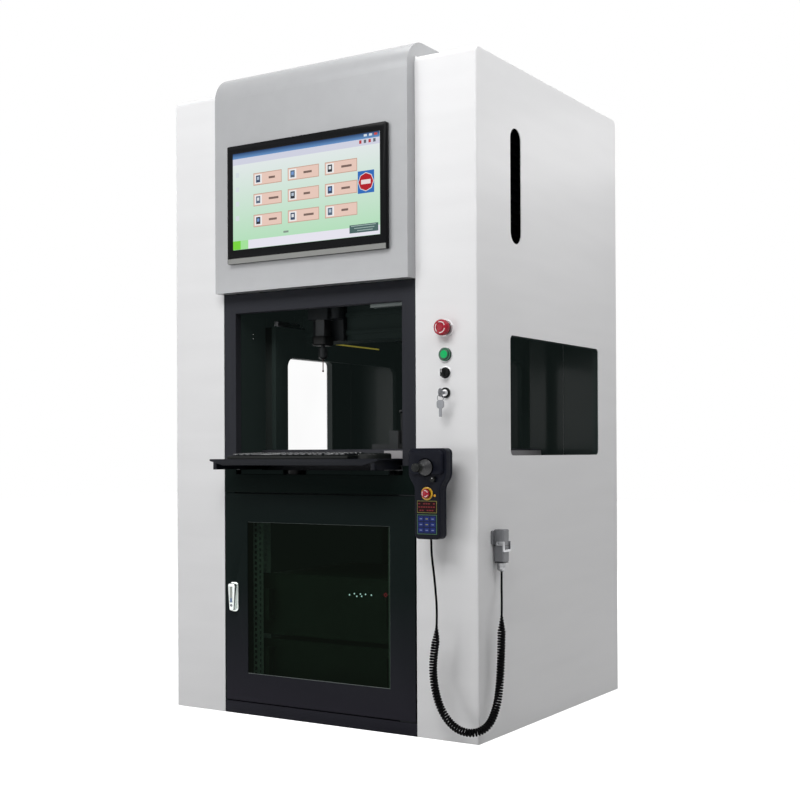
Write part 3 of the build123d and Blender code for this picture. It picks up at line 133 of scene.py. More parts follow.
def lathe(name, base, axis, profile, vertices=48, ring=False):
    """A circle drawn along the axis through pairs of distance and radius: a solid, or a ring that closes."""
    choose()
    start, radius = profile[0]
    bpy.ops.mesh.primitive_circle_add(vertices=vertices, radius=radius, location=(0, 0, start),
                                      fill_type="NOTHING" if ring else "NGON")
    piece = apply_place(named(name))
    bpy.ops.object.mode_set(mode="EDIT")
    if ring:
        bpy.ops.mesh.select_mode(type="EDGE")
    bpy.ops.mesh.select_all(action="SELECT")
    for (z0, r0), (z1, r1) in zip(profile, profile[1:] + profile[:1] if ring else profile[1:]):
        bpy.ops.mesh.extrude_region_move(TRANSFORM_OT_translate={"value": (0, 0, z1 - z0)})
        bpy.ops.transform.resize(value=(r1 / r0, r1 / r0, 1), center_override=(0, 0, z1))
    bpy.ops.mesh.select_all(action="SELECT")
    if ring:
        bpy.ops.mesh.remove_doubles(threshold=RING_WELD)
    bpy.ops.mesh.normals_make_consistent(inside=False)
    bpy.ops.object.mode_set(mode="OBJECT")
    piece.rotation_mode = "QUATERNION"
    piece.rotation_quaternion = Vector(axis).to_track_quat("Z", "Y")
    piece.location = base
    return apply_place(piece)


def arcs(name, centre, inner, outer, spans, thick):
    """Raised bands on a face that looks along -Y, each over a span of degrees round the centre."""
    choose()
    bpy.ops.mesh.primitive_circle_add(vertices=72, radius=outer, fill_type="NOTHING")
    piece = named(name)
    bpy.ops.object.mode_set(mode="EDIT")
    bpy.ops.mesh.select_mode(type="EDGE")
    bpy.ops.mesh.select_all(action="SELECT")
    bpy.ops.mesh.extrude_region_move()
    bpy.ops.transform.resize(value=(inner / outer, inner / outer, 1), center_override=(0, 0, 0))
    bpy.ops.mesh.select_mode(type="FACE")
    bpy.ops.mesh.select_all(action="DESELECT")
    bpy.ops.object.mode_set(mode="OBJECT")
    for face in piece.data.polygons:
        turn = math.degrees(math.atan2(face.center.y, face.center.x)) % 360
        face.select = not any((turn - low) % 360 <= high - low for low, high in spans)
    bpy.ops.object.mode_set(mode="EDIT")
    bpy.ops.mesh.delete(type="FACE")
    bpy.ops.mesh.select_all(action="SELECT")
    bpy.ops.mesh.extrude_region_move(TRANSFORM_OT_translate={"value": (0, 0, thick)})
    bpy.ops.mesh.select_all(action="SELECT")
    bpy.ops.mesh.normals_make_consistent(inside=False)
    bpy.ops.object.mode_set(mode="OBJECT")
    piece.rotation_euler = (math.radians(90), 0, 0)
    piece.location = centre
    return apply_place(piece)


def joined(name, pieces):
    """Several shapes as one object, each with its own finish."""
    choose(*pieces)
    if len(pieces) > 1:
        bpy.ops.object.join()
    return named(name)


def painted(piece, look):
    """One finish all over the piece, given by its key or as a material."""
    piece.data.materials.clear()
    piece.data.materials.append(finish(look) if isinstance(look, str) else look)
    return piece


def settle(piece, body, look, replaces=()):
    """A finished piece: its finish, its body and the nodes that it stands for."""
    if look is not None:
        painted(piece, look)
    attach(piece, body)
    if replaces:
        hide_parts(*replaces)
    return piece


def softened(node, name, body, look, width=0.8, segments=2, angle=35):
    """A copy of a CAD node with its flat faces merged and its edges slightly rounded."""
    source = NODES[node]
    piece = source.copy()
    piece.data = source.data.copy()
    for key in list(piece.keys()):
        del piece[key]
    piece.parent = None
    piece.name = name
    piece.data.name = name
    bpy.context.scene.collection.objects.link(piece)
    choose(piece)
    bpy.ops.object.mode_set(mode="EDIT")
    bpy.ops.mesh.select_all(action="SELECT")
    bpy.ops.mesh.remove_doubles(threshold=CAD_WELD)
    bpy.ops.mesh.dissolve_limited(angle_limit=math.radians(2))
    bpy.ops.object.mode_set(mode="OBJECT")
    if width:
        rounded(piece, width * MM, segments, angle)
    smooth(piece)
    return settle(piece, body, look, (node,))


def dress(look, *nodes):
    """CAD nodes that keep their shape and get a finish."""
    for node in nodes:
        painted(NODES[node], look)


# Materials
def linear(code):
    """An sRGB hex colour as linear RGBA."""
    channels = [int(code[i:i + 2], 16) / 255 for i in (1, 3, 5)]
    return [c / 12.92 if c <= 0.04045 else ((c + 0.055) / 1.055) ** 2.4 for c in channels] + [1.0]


def add(tree, kind, sockets=(), **settings):
    """A node with its settings, its values and its links."""
    node = tree.nodes.new(kind)
    for key, value in settings.items():
        setattr(node, key, value)
    for key, value in dict(sockets).items():
        if isinstance(value, bpy.types.NodeSocket):
            tree.links.new(value, node.inputs[key])
        else:
            node.inputs[key].default_value = value
    return node


def new_material(name):
    """An empty node material with its output."""
    material = bpy.data.materials.new(name)
    material.use_nodes = True
    tree = material.node_tree
    tree.nodes.clear()
    return material, tree, tree.nodes.new("ShaderNodeOutputMaterial")


# A patch of slightly other colour is this many grains across, and roughness wanders this far either way
PATCH_GRAINS = 60
ROUGH_SPREAD = 0.08


def surface(name, colour, shade, grain_mm, roughness, bump_mm, gloss=0.5, metal=0.0, more=(),
            stretch=(1, 1, 1)):
    """A finish whose colour wanders from colour to shade and whose relief is grain_mm across."""
    material, tree, output = new_material(name)
    coords = add(tree, "ShaderNodeTexCoord").outputs["Object"]
    place = add(tree, "ShaderNodeMapping", {"Vector": coords, "Scale": stretch}).outputs[0]
    noise = add(tree, "ShaderNodeTexNoise", {"Vector": place, "Scale": 1 / (grain_mm * MM), "Detail": 4.0})
    broad = add(tree, "ShaderNodeTexNoise", {"Vector": place, "Scale": 1 / (PATCH_GRAINS * grain_mm * MM),
                                             "Detail": 2.0})
    tone = add(tree, "ShaderNodeMix", {0: broad.outputs[0], "A": linear(colour), "B": linear(shade)},
               data_type="RGBA")
    rough = add(tree, "ShaderNodeMapRange", {"Value": noise.outputs[0], "To Min": roughness - ROUGH_SPREAD,
                                             "To Max": roughness + ROUGH_SPREAD})
    bump = add(tree, "ShaderNodeBump", {"Height": noise.outputs[0], "Strength": 0.6,
                                        "Distance": bump_mm * MM})
    shader = add(tree, "ShaderNodeBsdfPrincipled", {
        "Base Color": tone.outputs["Result"], "Roughness": rough.outputs[0], "Specular IOR Level": gloss,
        "Metallic": metal, **dict(more)})
    if bump_mm:
        tree.links.new(bump.outputs[0], shader.inputs["Normal"])
    tree.links.new(shader.outputs[0], output.inputs[0])
    return material


def painted_glow(code):
    """Sockets for a faint painted glow, on a part that is no lamp."""
    return {"Emission Color": linear(code), "Emission Strength": 1.0}


def lit(name, colour, strength, base=None):
    """A face that gives light of its own, with a faint unevenness; base is its colour when it is off."""
    material, tree, output = new_material(name)
    coords = add(tree, "ShaderNodeTexCoord").outputs["Object"]
    noise = add(tree, "ShaderNodeTexNoise", {"Vector": coords, "Scale": 1 / (2 * MM)})
    dim = [c * 0.94 for c in linear(colour)[:3]] + [1.0]
    tone = add(tree, "ShaderNodeMix", {0: noise.outputs[0], "A": linear(colour), "B": dim}, data_type="RGBA")
    shader = add(tree, "ShaderNodeBsdfPrincipled", {"Roughness": 0.25, "Specular IOR Level": 0.1,
                                                    "Emission Color": tone.outputs["Result"],
                                                    "Emission Strength": strength})
    if base:
        shader.inputs["Base Color"].default_value = linear(base)
    else:
        tree.links.new(tone.outputs["Result"], shader.inputs["Base Color"])
    tree.links.new(shader.outputs[0], output.inputs[0])
    return material


# A glow painted inside the cabinet for the light that strays in: the dark green-grey that light leaves on
# matt paint
PAINTED_STRAY_LIGHT = "#0E1312"
# A line between two colours is this soft
EDGE_BLEND = 0.05 * MM


def casing_paint():
    """Powder coat on folded sheet: white outside with faint bands painted as wavy reflections; the faces
    inside the cabinet are painted dark as shade, with a painted glow of stray light.
    """
    material, tree, output = new_material("White powder coat on steel sheet")
    coords = add(tree, "ShaderNodeTexCoord").outputs["Object"]
    split = add(tree, "ShaderNodeSeparateXYZ", {0: coords}).outputs
    size_x = add(tree, "ShaderNodeMath", {0: split[0]}, operation="ABSOLUTE").outputs[0]
    size_y = add(tree, "ShaderNodeMath", {0: split[1]}, operation="ABSOLUTE").outputs[0]
    corner = add(tree, "ShaderNodeMath", {0: size_y, 1: split[2]}, operation="ADD").outputs[0]
    low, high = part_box("right_casing")
    skin = 2.1 * MM
    radius = 18 * MM
    diagonal = high.y + high.z - radius * (2 - math.sqrt(2)) - 1.6 * skin
    inside = None
    for value, limit in ((size_x, high.x - skin), (size_y, high.y - skin), (split[2], high.z - skin),
                         (corner, diagonal)):
        test = add(tree, "ShaderNodeMath", {0: value, 1: limit}, operation="LESS_THAN").outputs[0]
        inside = test if inside is None else add(tree, "ShaderNodeMath", {0: inside, 1: test},
                                                 operation="MULTIPLY").outputs[0]
    # The wave gives the sheet a faint wavy relief and also faint horizontal bands of colour, painted as its
    # wavy reflections
    wide = add(tree, "ShaderNodeMapping", {"Vector": coords, "Scale": (1, 1, 7)}).outputs[0]
    wave_relief_and_painted_reflection = add(tree, "ShaderNodeTexNoise", {"Vector": wide, "Scale": 2.6, "Detail": 1.5}).outputs[0]
    peel = add(tree, "ShaderNodeTexNoise", {"Vector": coords, "Scale": 1 / (3 * MM),
                                            "Detail": 2.0}).outputs[0]
    height = add(tree, "ShaderNodeMath", {0: peel, 1: 0.02, 2: wave_relief_and_painted_reflection}, operation="MULTIPLY_ADD").outputs[0]
    bump = add(tree, "ShaderNodeBump", {"Height": height, "Strength": 1.0, "Distance": 0.45 * MM}).outputs[0]
    share = add(tree, "ShaderNodeMapRange", {"Value": wave_relief_and_painted_reflection, "From Min": 0.3, "From Max": 0.7}).outputs[0]
    white = add(tree, "ShaderNodeMix", {0: share, "A": linear("#EDEDEE"), "B": linear("#EAEAEB")},
                data_type="RGBA").outputs["Result"]
    # Inside the cabinet the colour is painted dark as shade, and a glow of stray light is painted on it
    tone = add(tree, "ShaderNodeMix", {0: inside, "A": white, "B": linear("#1B2221")},
               data_type="RGBA").outputs["Result"]
    glow = add(tree, "ShaderNodeMix", {0: inside, "A": (0, 0, 0, 1), "B": linear(PAINTED_STRAY_LIGHT)},
               data_type="RGBA").outputs["Result"]
    shader = add(tree, "ShaderNodeBsdfPrincipled", {"Base Color": tone, "Roughness": 0.4, "Normal": bump,
                                                    "Specular IOR Level": 0.12, "Coat Weight": 0.06,
                                                    "Coat Roughness": 0.12, "Emission Color": glow,
                                                    "Emission Strength": 1.0})
    tree.links.new(shader.outputs[0], output.inputs[0])
    return material


def split_colour(name, upper, lower, edge, grain_mm, roughness, gloss, beyond=None, blend=EDGE_BLEND):
    """Colour that changes below a height, over blend, and where asked only beyond a place along X; on the
    front frame the dark colour below is painted shade.
    """
    material, tree, output = new_material(name)
    coords = add(tree, "ShaderNodeTexCoord").outputs["Object"]
    split = add(tree, "ShaderNodeSeparateXYZ", {0: coords}).outputs
    share = add(tree, "ShaderNodeMapRange", {"Value": split[2], "From Min": edge,
                                             "From Max": edge + blend}).outputs[0]
    if beyond is not None:
        before = add(tree, "ShaderNodeMapRange", {"Value": split[0], "From Min": beyond + EDGE_BLEND,
                                                  "From Max": beyond}).outputs[0]
        share = add(tree, "ShaderNodeMath", {0: share, 1: before}, operation="MAXIMUM").outputs[0]
    noise = add(tree, "ShaderNodeTexNoise", {"Vector": coords, "Scale": 1 / (grain_mm * MM),
                                             "Detail": 3.0}).outputs[0]
    tone = add(tree, "ShaderNodeMix", {0: share, "A": linear(lower), "B": linear(upper)},
               data_type="RGBA").outputs["Result"]
    wear = add(tree, "ShaderNodeMapRange", {"Value": noise, "From Min": -6.0, "From Max": 0.7}).outputs[0]
    worn = add(tree, "ShaderNodeHueSaturation", {"Color": tone, "Value": wear}).outputs[0]
    bump = add(tree, "ShaderNodeBump", {"Height": noise, "Strength": 0.5, "Distance": 0.03 * MM}).outputs[0]
    shader = add(tree, "ShaderNodeBsdfPrincipled", {"Base Color": worn, "Roughness": roughness,
                                                    "Specular IOR Level": gloss, "Normal": bump})
    tree.links.new(shader.outputs[0], output.inputs[0])
    return material


# The dim green-grey glow painted on clear sheets, for dust and as a painted reflection of the room
DUST_AND_PAINTED_SHEEN = "#505C50"


def clear_sheet(name, tint, density, painted_shine, haze=0.0):
    """Clear plastic sheet: tinted see-through under a dim painted glow, for dust and, by Fresnel, as a
    painted reflection of the room.
    """
    material, tree, output = new_material(name)
    coords = add(tree, "ShaderNodeTexCoord").outputs["Object"]
    noise = add(tree, "ShaderNodeTexNoise", {"Vector": coords, "Scale": 6.0, "Detail": 1.0}).outputs[0]
    shade = [c * (1 - density) for c in linear(tint)[:3]] + [1.0]
    deeper = [c * 0.97 for c in shade[:3]] + [1.0]
    tone = add(tree, "ShaderNodeMix", {0: noise, "A": shade, "B": deeper}, data_type="RGBA").outputs["Result"]
    see = add(tree, "ShaderNodeBsdfTransparent", {"Color": tone}).outputs[0]
    fresnel = add(tree, "ShaderNodeFresnel", {"IOR": 1.49}).outputs[0]
    behind = add(tree, "ShaderNodeNewGeometry").outputs["Backfacing"]
    front = add(tree, "ShaderNodeMath", {0: 1.0, 1: behind}, operation="SUBTRACT").outputs[0]
    share = add(tree, "ShaderNodeMath", {0: fresnel, 1: painted_shine, 2: haze}, operation="MULTIPLY_ADD").outputs[0]
    share = add(tree, "ShaderNodeMath", {0: share, 1: front}, operation="MULTIPLY").outputs[0]
    painted_sheen = add(tree, "ShaderNodeEmission", {"Color": linear(DUST_AND_PAINTED_SHEEN), "Strength": share}).outputs[0]
    both = add(tree, "ShaderNodeAddShader", {0: see, 1: painted_sheen}).outputs[0]
    tree.links.new(both, output.inputs[0])
    return material


FINISHES = {}


def finish(key):
    """One of the finishes, made on first use."""
    if key not in FINISHES:
        kind, *values = RECIPES[key]
        FINISHES[key] = kind(*values)
    return FINISHES[key]


# One row for each finish: its function and what that takes. For surface these are the name, the colour and
# the shade it wanders to, the grain in millimetres, the roughness, the relief in millimetres, the gloss, how
# metallic it is, sockets of its own, and how its grain is squeezed along X, Y and Z. Grain that is too fine
# to show is drawn coarser, about a millimetre across. Each comment says what the finish gives the eye.
RECIPES = {
    # Glossy white outside with a faint orange peel and faint painted reflections; dark and matt on the faces
    # inside, as painted shade with a painted glow
    "casing": (casing_paint,),
    # Fine grain and a soft highlight, with a touch of violet
    "frame": (surface, "Black textured powder coat", "#27272E", "#222228", 1.2, 0.5, 0.05, 0.04),
    # The same coat, with the tray's shade painted green-black on the apron below it
    "front": (split_colour, "Black textured powder coat, darker apron", "#36373C", "#0D1614", 0.715, 1.2, 0.5,
              0.02),
    # The same coat, violet by the floor and green above
    "door": (split_colour, "Black powder coat on folded steel", "#151D1C", "#2D2C33", 0.03, 1.2, 0.5, 0.02, None,
             0.36),
    # Dead matt and dark, with a painted glow for the light that strays in
    "inner": (surface, "Black matt interior coat", "#2A3230", "#242B29", 2.0, 0.65, 0.03, 0.0, 0.0,
              painted_glow(PAINTED_STRAY_LIGHT)),
    # Nearly black, with a dim sheen along the folded edges
    "tray": (surface, "Black powder coat, tray", "#14161C", "#101218", 1.2, 0.4, 0.01, 0.1),
    # Black plastic, darker still as painted shade, so that the vent shows as a black gap with no highlight
    "vent": (surface, "Black moulded vent plastic", "#030304", "#050506", 1.0, 0.6, 0.02, 0.0),
    # Flakes give a broad soft highlight under a clear coat
    "head": (surface, "Silver metallic lacquer", "#A8A9AB", "#A1A2A4", 0.8, 0.42, 0.01, 0.3, 0.25,
             {"Coat Weight": 0.6, "Coat Roughness": 0.16}),
    # Smooth and black, so that the edges draw thin bright lines
    "bezel": (surface, "Black gloss ABS bezel", "#0B0C0E", "#0E0F11", 1.0, 0.2, 0.004, 0.08),
    # A light band under the picture
    "chin": (surface, "Light silver-grey band on the bezel", "#8C8D8A", "#848582", 1.0, 0.35, 0.0, 0.3),
    # Black with a dull, even sheen
    "abs": (surface, "Black moulded ABS", "#0E1110", "#121414", 0.7, 0.45, 0.02, 0.15),
    # Worn smooth, so that each cap's top mirrors the lamps
    "keycap": (surface, "Black moulded ABS key cap", "#24272B", "#1D2024", 0.7, 0.26, 0.01, 1.0),
    # Blue-black with a fine grain
    "pendant": (surface, "Dark moulded ABS, fine grain", "#13151F", "#10121A", 0.6, 0.4, 0.01, 0.06),
    # Soft highlights that follow the folds
    "rubber": (surface, "Black moulded rubber", "#0B0C11", "#101116", 0.8, 0.3, 0.01, 0.45),
    # Matt grey-black
    "rubber_lip": (surface, "Grey-black sealing rubber", "#2C3230", "#262C2A", 1.0, 0.6, 0.03, 0.1),
    # Deep black, so that the turns show by their gaps
    "cord": (surface, "Black polyurethane cord sheath", "#030304", "#050506", 1.5, 0.5, 0.02, 0.04),
    # Bright, with the fine lines that grinding leaves
    "steel": (surface, "Ground steel", "#B8B9BB", "#A6A7AA", 0.8, 0.3, 0.01, 0.5, 1.0, (), (1, 8, 1)),
    # Dull grey-white, with a painted glow for the light that strays in
    "zinc": (surface, "Zinc-plated folded steel", "#B4B8B4", "#A2A6A2", 0.8, 0.4, 0.01, 0.4, 0.0,
             painted_glow("#1A1E20")),
    # Flat grey-green
    "rack": (surface, "Grey-green equipment paint", "#46504A", "#3C463F", 1.2, 0.5, 0.02, 0.2),
    # Dark with a metal's edge light
    "dark_steel": (surface, "Blackened steel", "#2B2D2E", "#222425", 0.8, 0.45, 0.01, 0.2, 0.5),
    # Almost a mirror, softened to satin
    "plated": (surface, "Satin chrome plate", "#D5DAD6", "#C6CCCB", 1.0, 0.24, 0.004, 0.5, 0.85),
    # Painted shade: darker than the plate round it, as in a recess
    "painted_recess_shade": (surface, "Recess shade painted on chrome plate", "#8C918C", "#7E837E", 1.0, 0.35, 0.004, 0.5, 0.3),
    # Painted reflection: the blue that the plate would mirror from above
    "painted_sky_reflection": (surface, "Sky reflection painted on chrome plate", "#6A7C98", "#5A6C88", 1.0, 0.25, 0.004, 0.5,
                    0.4),
    # Grey and slightly dull
    "nickel": (surface, "Tarnished nickel plate", "#8E9094", "#7E8084", 0.6, 0.4, 0.01, 0.2, 0.3),
    # Grey with a faint cast grain
    "alloy": (surface, "Die-cast aluminium", "#737478", "#67686B", 0.9, 0.45, 0.04, 0.4, 0.4),
    # Bright and smooth
    "gland": (surface, "Nickel-plated brass gland", "#A7A8AA", "#98999B", 0.8, 0.3, 0.01, 0.5, 0.7),
    # Dark, with a light patch low on the right-hand end and a sharp line round it
    "base": (split_colour, "Coated plate on a light block", "#34353A", "#A9A7AA", 0.7555, 1.5, 0.5, 0.15, 0.15),
    # Dark and mottled, with a painted glow for the light that strays in
    "wall": (surface, "Dark grey hammered coat", "#272F2D", "#212927", 2.0, 0.55, 0.015, 0.02, 0.0,
             painted_glow(PAINTED_STRAY_LIGHT)),
    # Plain dark grey
    "frame_grey": (surface, "Dark structural paint", "#303436", "#282C2E", 2.0, 0.55, 0.05, 0.1),
    # A thin bright line in a dark chamber, made brighter by a painted glow
    "gold": (surface, "Gold scale tape", "#F6E27A", "#F0D868", 1.0, 0.3, 0.0, 0.5, 0.0, painted_glow("#6A6426")),
    # Black with a dull grain
    "chain": (surface, "Black glass-filled nylon", "#1A1A1B", "#232324", 0.8, 0.5, 0.03, 0.2),
    # Strong red with a clear highlight
    "red": (surface, "Red gloss ABS", "#A80426", "#960320", 1.0, 0.3, 0.01, 0.3),
    # Light held in a clear green lens
    "green": (lit, "Green translucent lens", "#12A85C", 0.25),
    # Dark green round the lens
    "green_ring": (surface, "Dark green moulded bezel", "#0C5A3C", "#0A4C33", 1.0, 0.35, 0.01),
    # A thin green edge round the keypad
    "green_line": (surface, "Green printed border", "#3F7A3A", "#386E34", 1.0, 0.4, 0.0),
    # A thin yellow-green edge round the display
    "lime_line": (surface, "Yellow-green printed border", "#84822A", "#787624", 1.0, 0.4, 0.0),
    # Flat dark blue
    "blue": (surface, "Blue membrane", "#101A44", "#0C163A", 1.0, 0.35, 0.01, 0.1),
    # A lighter blue where a key stands up
    "blue_key": (surface, "Raised blue membrane key", "#1A2C72", "#162664", 1.0, 0.35, 0.01, 0.1),
    # Red so dark that it looks off
    "display": (surface, "Dark red display window", "#281012", "#200C0E", 1.0, 0.4, 0.0, 0.04),
    # Segments that show only just
    "digits": (lit, "Red display segments", "#6E2024", 0.15),
    # Even warm yellow
    "yellow": (surface, "Yellow moulded ring", "#E6B41E", "#D8A416", 1.0, 0.3, 0.01),
    # Pale marks that don't read as words
    "faint_mark": (surface, "Pale blue printed legend", "#62719E", "#586794", 1.0, 0.4, 0.0),
    # Plain white
    "white_mark": (surface, "White printed mark", "#EDEDED", "#E0E0E0", 1.0, 0.4, 0.0),
    # Pale and satin, brighter at the edge
    "silver_ring": (surface, "Satin aluminium ring", "#E4E4E6", "#D8D8DA", 0.6, 0.3, 0.004, 0.5, 0.3),
    # Milky grey, unlit
    "lamp": (surface, "Frosted light cover, unlit", "#7E8A88", "#727E7C", 1.0, 0.3, 0.01, 0.3),
    # Nothing but a dim painted reflection
    "window": (clear_sheet, "Clear acrylic sheet", "#FFFFFF", 0.0, 0.02),
    # Tinted, with a glow painted for a little dust and a painted reflection
    "door_glass": (clear_sheet, "Dark tinted acrylic sheet", "#B4C2B8", 0.1, 0.1, 0.04),
    # Deep red and polished
    "ruby": (surface, "Ruby ball", "#5E1420", "#4E101A", 1.0, 0.1, 0.0),
    # A small warm lamp
    "dot": (lit, "Amber pilot lamp", "#C08A28", 0.3),
    # Cold white points
    "pilot": (lit, "White pilot lamp", "#B8C8D0", 4.0),
    # A red point
    "red_pilot": (lit, "Red pilot lamp", "#B03040", 1.6),
    # A thin grey line by the glass: a painted highlight where the frame's edges catch the light
    "gasket_and_painted_highlight": (surface, "Grey line painted as the frame's lit edge", "#7C8482", "#6E7674", 1.0, 0.5, 0.0, 0.2),
}


# Sizes and powers a user may change
def lamp_power(name, description, default):
    """A lamp's power as a setting."""
    return bpy.props.FloatProperty(name=name, description=description, default=default, unit="POWER")


def length_setting(name, description, millimetres):
    """A length as a setting."""
    return bpy.props.FloatProperty(name=name, description=description, default=millimetres * MM,
                                   unit="LENGTH")


class StageSettings(bpy.types.PropertyGroup):
    """Camera, lamps and sky."""
    lens: bpy.props.FloatProperty(name="Lens", description="Focal length on a 36 mm sensor", default=58.04,
                                  min=10, subtype="DISTANCE_CAMERA")
    key_power: lamp_power("Key lamp", "Power of the front lamp", 62.0)
    side_power: lamp_power("Side lamp", "Power of the lamp on the right", 33.0)
    fill_power: lamp_power("Fill lamp", "Power of the low lamp on the left", 20.0)
    top_power: lamp_power("Top lamp", "Power of the lamp overhead", 18.0)
    back_power: lamp_power("Back lamp", "Power of the lamp behind, twice that of the lamp far left", 44.0)
    strip_power: lamp_power("Back strip", "Power of the strip that the casing's side mirrors", 26.0)
    sky: bpy.props.FloatProperty(name="Sky", description="Strength of the even light all round", default=0.14)


class CordSettings(bpy.types.PropertyGroup):
    """The curly cord of the hand control."""
    diameter: length_setting("Cord diameter", "Thickness of the cord itself", 6)
    coil: length_setting("Coil diameter", "Outer diameter of the coil", 22)
    pitch: length_setting("Coil pitch", "Distance from one turn to the next", 7.2)


# Where the photograph was taken from, in metres, the camera's yaw, pitch and roll in degrees, and the shift
# of its frame as shares of the picture's width
CAMERA_PLACE = (2.0901, -3.3760, 0.7501)
CAMERA_TURN = (32.328, 0.33, -0.255)
CAMERA_SHIFT = (0.0116, 0.0565)


def place_camera(lens):
    """The photograph's camera: its place, its turn and the shift of its frame."""
    yaw, pitch, roll = (math.radians(turn) for turn in CAMERA_TURN)
    ahead = Vector((-math.sin(yaw) * math.cos(pitch), math.cos(yaw) * math.cos(pitch), math.sin(pitch)))
    right = Vector((math.cos(yaw), math.sin(yaw), 0))
    up = right.cross(ahead)
    right_rolled = right * math.cos(roll) + up * math.sin(roll)
    up_rolled = up * math.cos(roll) - right * math.sin(roll)
    data = bpy.data.cameras.new("Camera")
    data.lens = lens
    data.sensor_width = 36
    data.shift_x, data.shift_y = CAMERA_SHIFT
    data.clip_start, data.clip_end = 0.05, 60
    camera = bpy.data.objects.new("Camera", data)
    bpy.context.scene.collection.objects.link(camera)
    turn = Matrix((right_rolled, up_rolled, -ahead)).transposed()
    camera.matrix_world = Matrix.Translation(CAMERA_PLACE) @ turn.to_4x4()
    bpy.context.scene.camera = camera


def area_lamp(name, place, target, power, width, height):
    """A white soft box that faces a point."""
    data = bpy.data.lights.new(name, "AREA")
    data.shape = "RECTANGLE"
    data.size, data.size_y = width, height
    data.energy = power
    lamp = bpy.data.objects.new(name, data)
    lamp.location = place
    lamp.rotation_euler = (Vector(target) - Vector(place)).to_track_quat("-Z", "Y").to_euler()
    bpy.context.scene.collection.objects.link(lamp)


def shown_rays(tree):
    """One for a ray from the camera, off gloss or through glass, and nought for any other."""
    rays = add(tree, "ShaderNodeLightPath").outputs
    total = rays["Is Camera Ray"]
    for kind in ("Is Glossy Ray", "Is Transmission Ray"):
        total = add(tree, "ShaderNodeMath", {0: total, 1: rays[kind]}, operation="MAXIMUM").outputs[0]
    return total


class CMM_OT_stage(bpy.types.Operator):
    """Camera, lamps, sky and floor"""
    bl_idname = "cmm.stage"
    bl_label = "Stage"

    def execute(self, context):
        settings = context.scene.cmm_stage
        place_camera(settings.lens)
        scene = context.scene
        scene.view_settings.view_transform = "Standard"
        # Name, place, target, power, width and height
        for lamp in (("Key lamp", (0.3, -2.6, 2.9), (0, -0.4, 1.3), settings.key_power, 2.4, 1.2),
                     ("Side lamp", (2.3, -0.2, 2.8), (0.5, 0, 1.5), settings.side_power, 2.4, 1.0),
                     ("Fill lamp", (-1.8, -3.2, 0.9), (-0.3, -0.46, 0.8), settings.fill_power, 1.6, 1.4),
                     ("Top lamp", (0, -0.1, 3.7), (0, -0.1, 1.8), settings.top_power, 1.6, 1.2),
                     ("Back strip", (3.4, 5.2, 3.0), (0.5, 0, 1.4), settings.strip_power, 2.4, 0.5),
                     ("Back lamp", (-0.9, 3.6, 2.6), (0, 0.46, 1.1), settings.back_power, 2.4, 1.4),
                     ("Left lamp", (-3.4, 0.9, 2.4), (-0.5, 0, 1.1), settings.back_power / 2, 2.0, 1.4)):
            area_lamp(*lamp)
        world = bpy.data.worlds.new("Studio sky")
        scene.world = world
        world.use_nodes = True
        tree = world.node_tree
        tree.nodes.clear()
        shown = shown_rays(tree)
        even = add(tree, "ShaderNodeBackground", {"Color": (1, 1, 1, 1), "Strength": settings.sky}).outputs[0]
        white = add(tree, "ShaderNodeBackground", {"Color": (1, 1, 1, 1), "Strength": 1.0}).outputs[0]
        mix = add(tree, "ShaderNodeMixShader", {0: shown, 1: even, 2: white}).outputs[0]
        tree.links.new(mix, tree.nodes.new("ShaderNodeOutputWorld").inputs[0])
        choose()
        bpy.ops.mesh.primitive_plane_add(size=30, location=(0, 0, -0.0005))
        floor = apply_place(named("Floor"))
        material, tree, output = new_material("Pale studio floor")
        matt = add(tree, "ShaderNodeBsdfDiffuse", {"Color": linear("#F2F2F2")}).outputs[0]
        dull = add(tree, "ShaderNodeBsdfDiffuse", {"Color": linear("#A4A4A4")}).outputs[0]
        glow = add(tree, "ShaderNodeEmission", {"Color": (1, 1, 1, 1), "Strength": 0.9}).outputs[0]
        both = add(tree, "ShaderNodeAddShader", {0: matt, 1: glow}).outputs[0]
        mix = add(tree, "ShaderNodeMixShader", {0: shown_rays(tree), 1: dull, 2: both}).outputs[0]
        tree.links.new(mix, output.inputs[0])
        painted(floor, material)
        return {"FINISHED"}


def front_disc(name, x, z, back, profile, vertices=48, ring=False):
    """A lathe shape that grows towards the front from a face at depth back, all in millimetres."""
    outline = [(d * MM, r * MM) for d, r in profile]
    return lathe(name, Vector((x, back, z)) * MM, (0, -1, 0), outline, vertices, ring)


def front_ring(name, x, z, back, profile, vertices=48):
    """A ring that grows towards the front from a face at depth back, all in millimetres."""
    return front_disc(name, x, z, back, profile, vertices, ring=True)


def plate(name, x0, x1, y0, y1, z0, z1, width=0.0, segments=2):
    """A slab between limits in millimetres."""
    return slab(name, Vector((x0, y0, z0)) * MM, Vector((x1, y1, z1)) * MM, width * MM, segments)


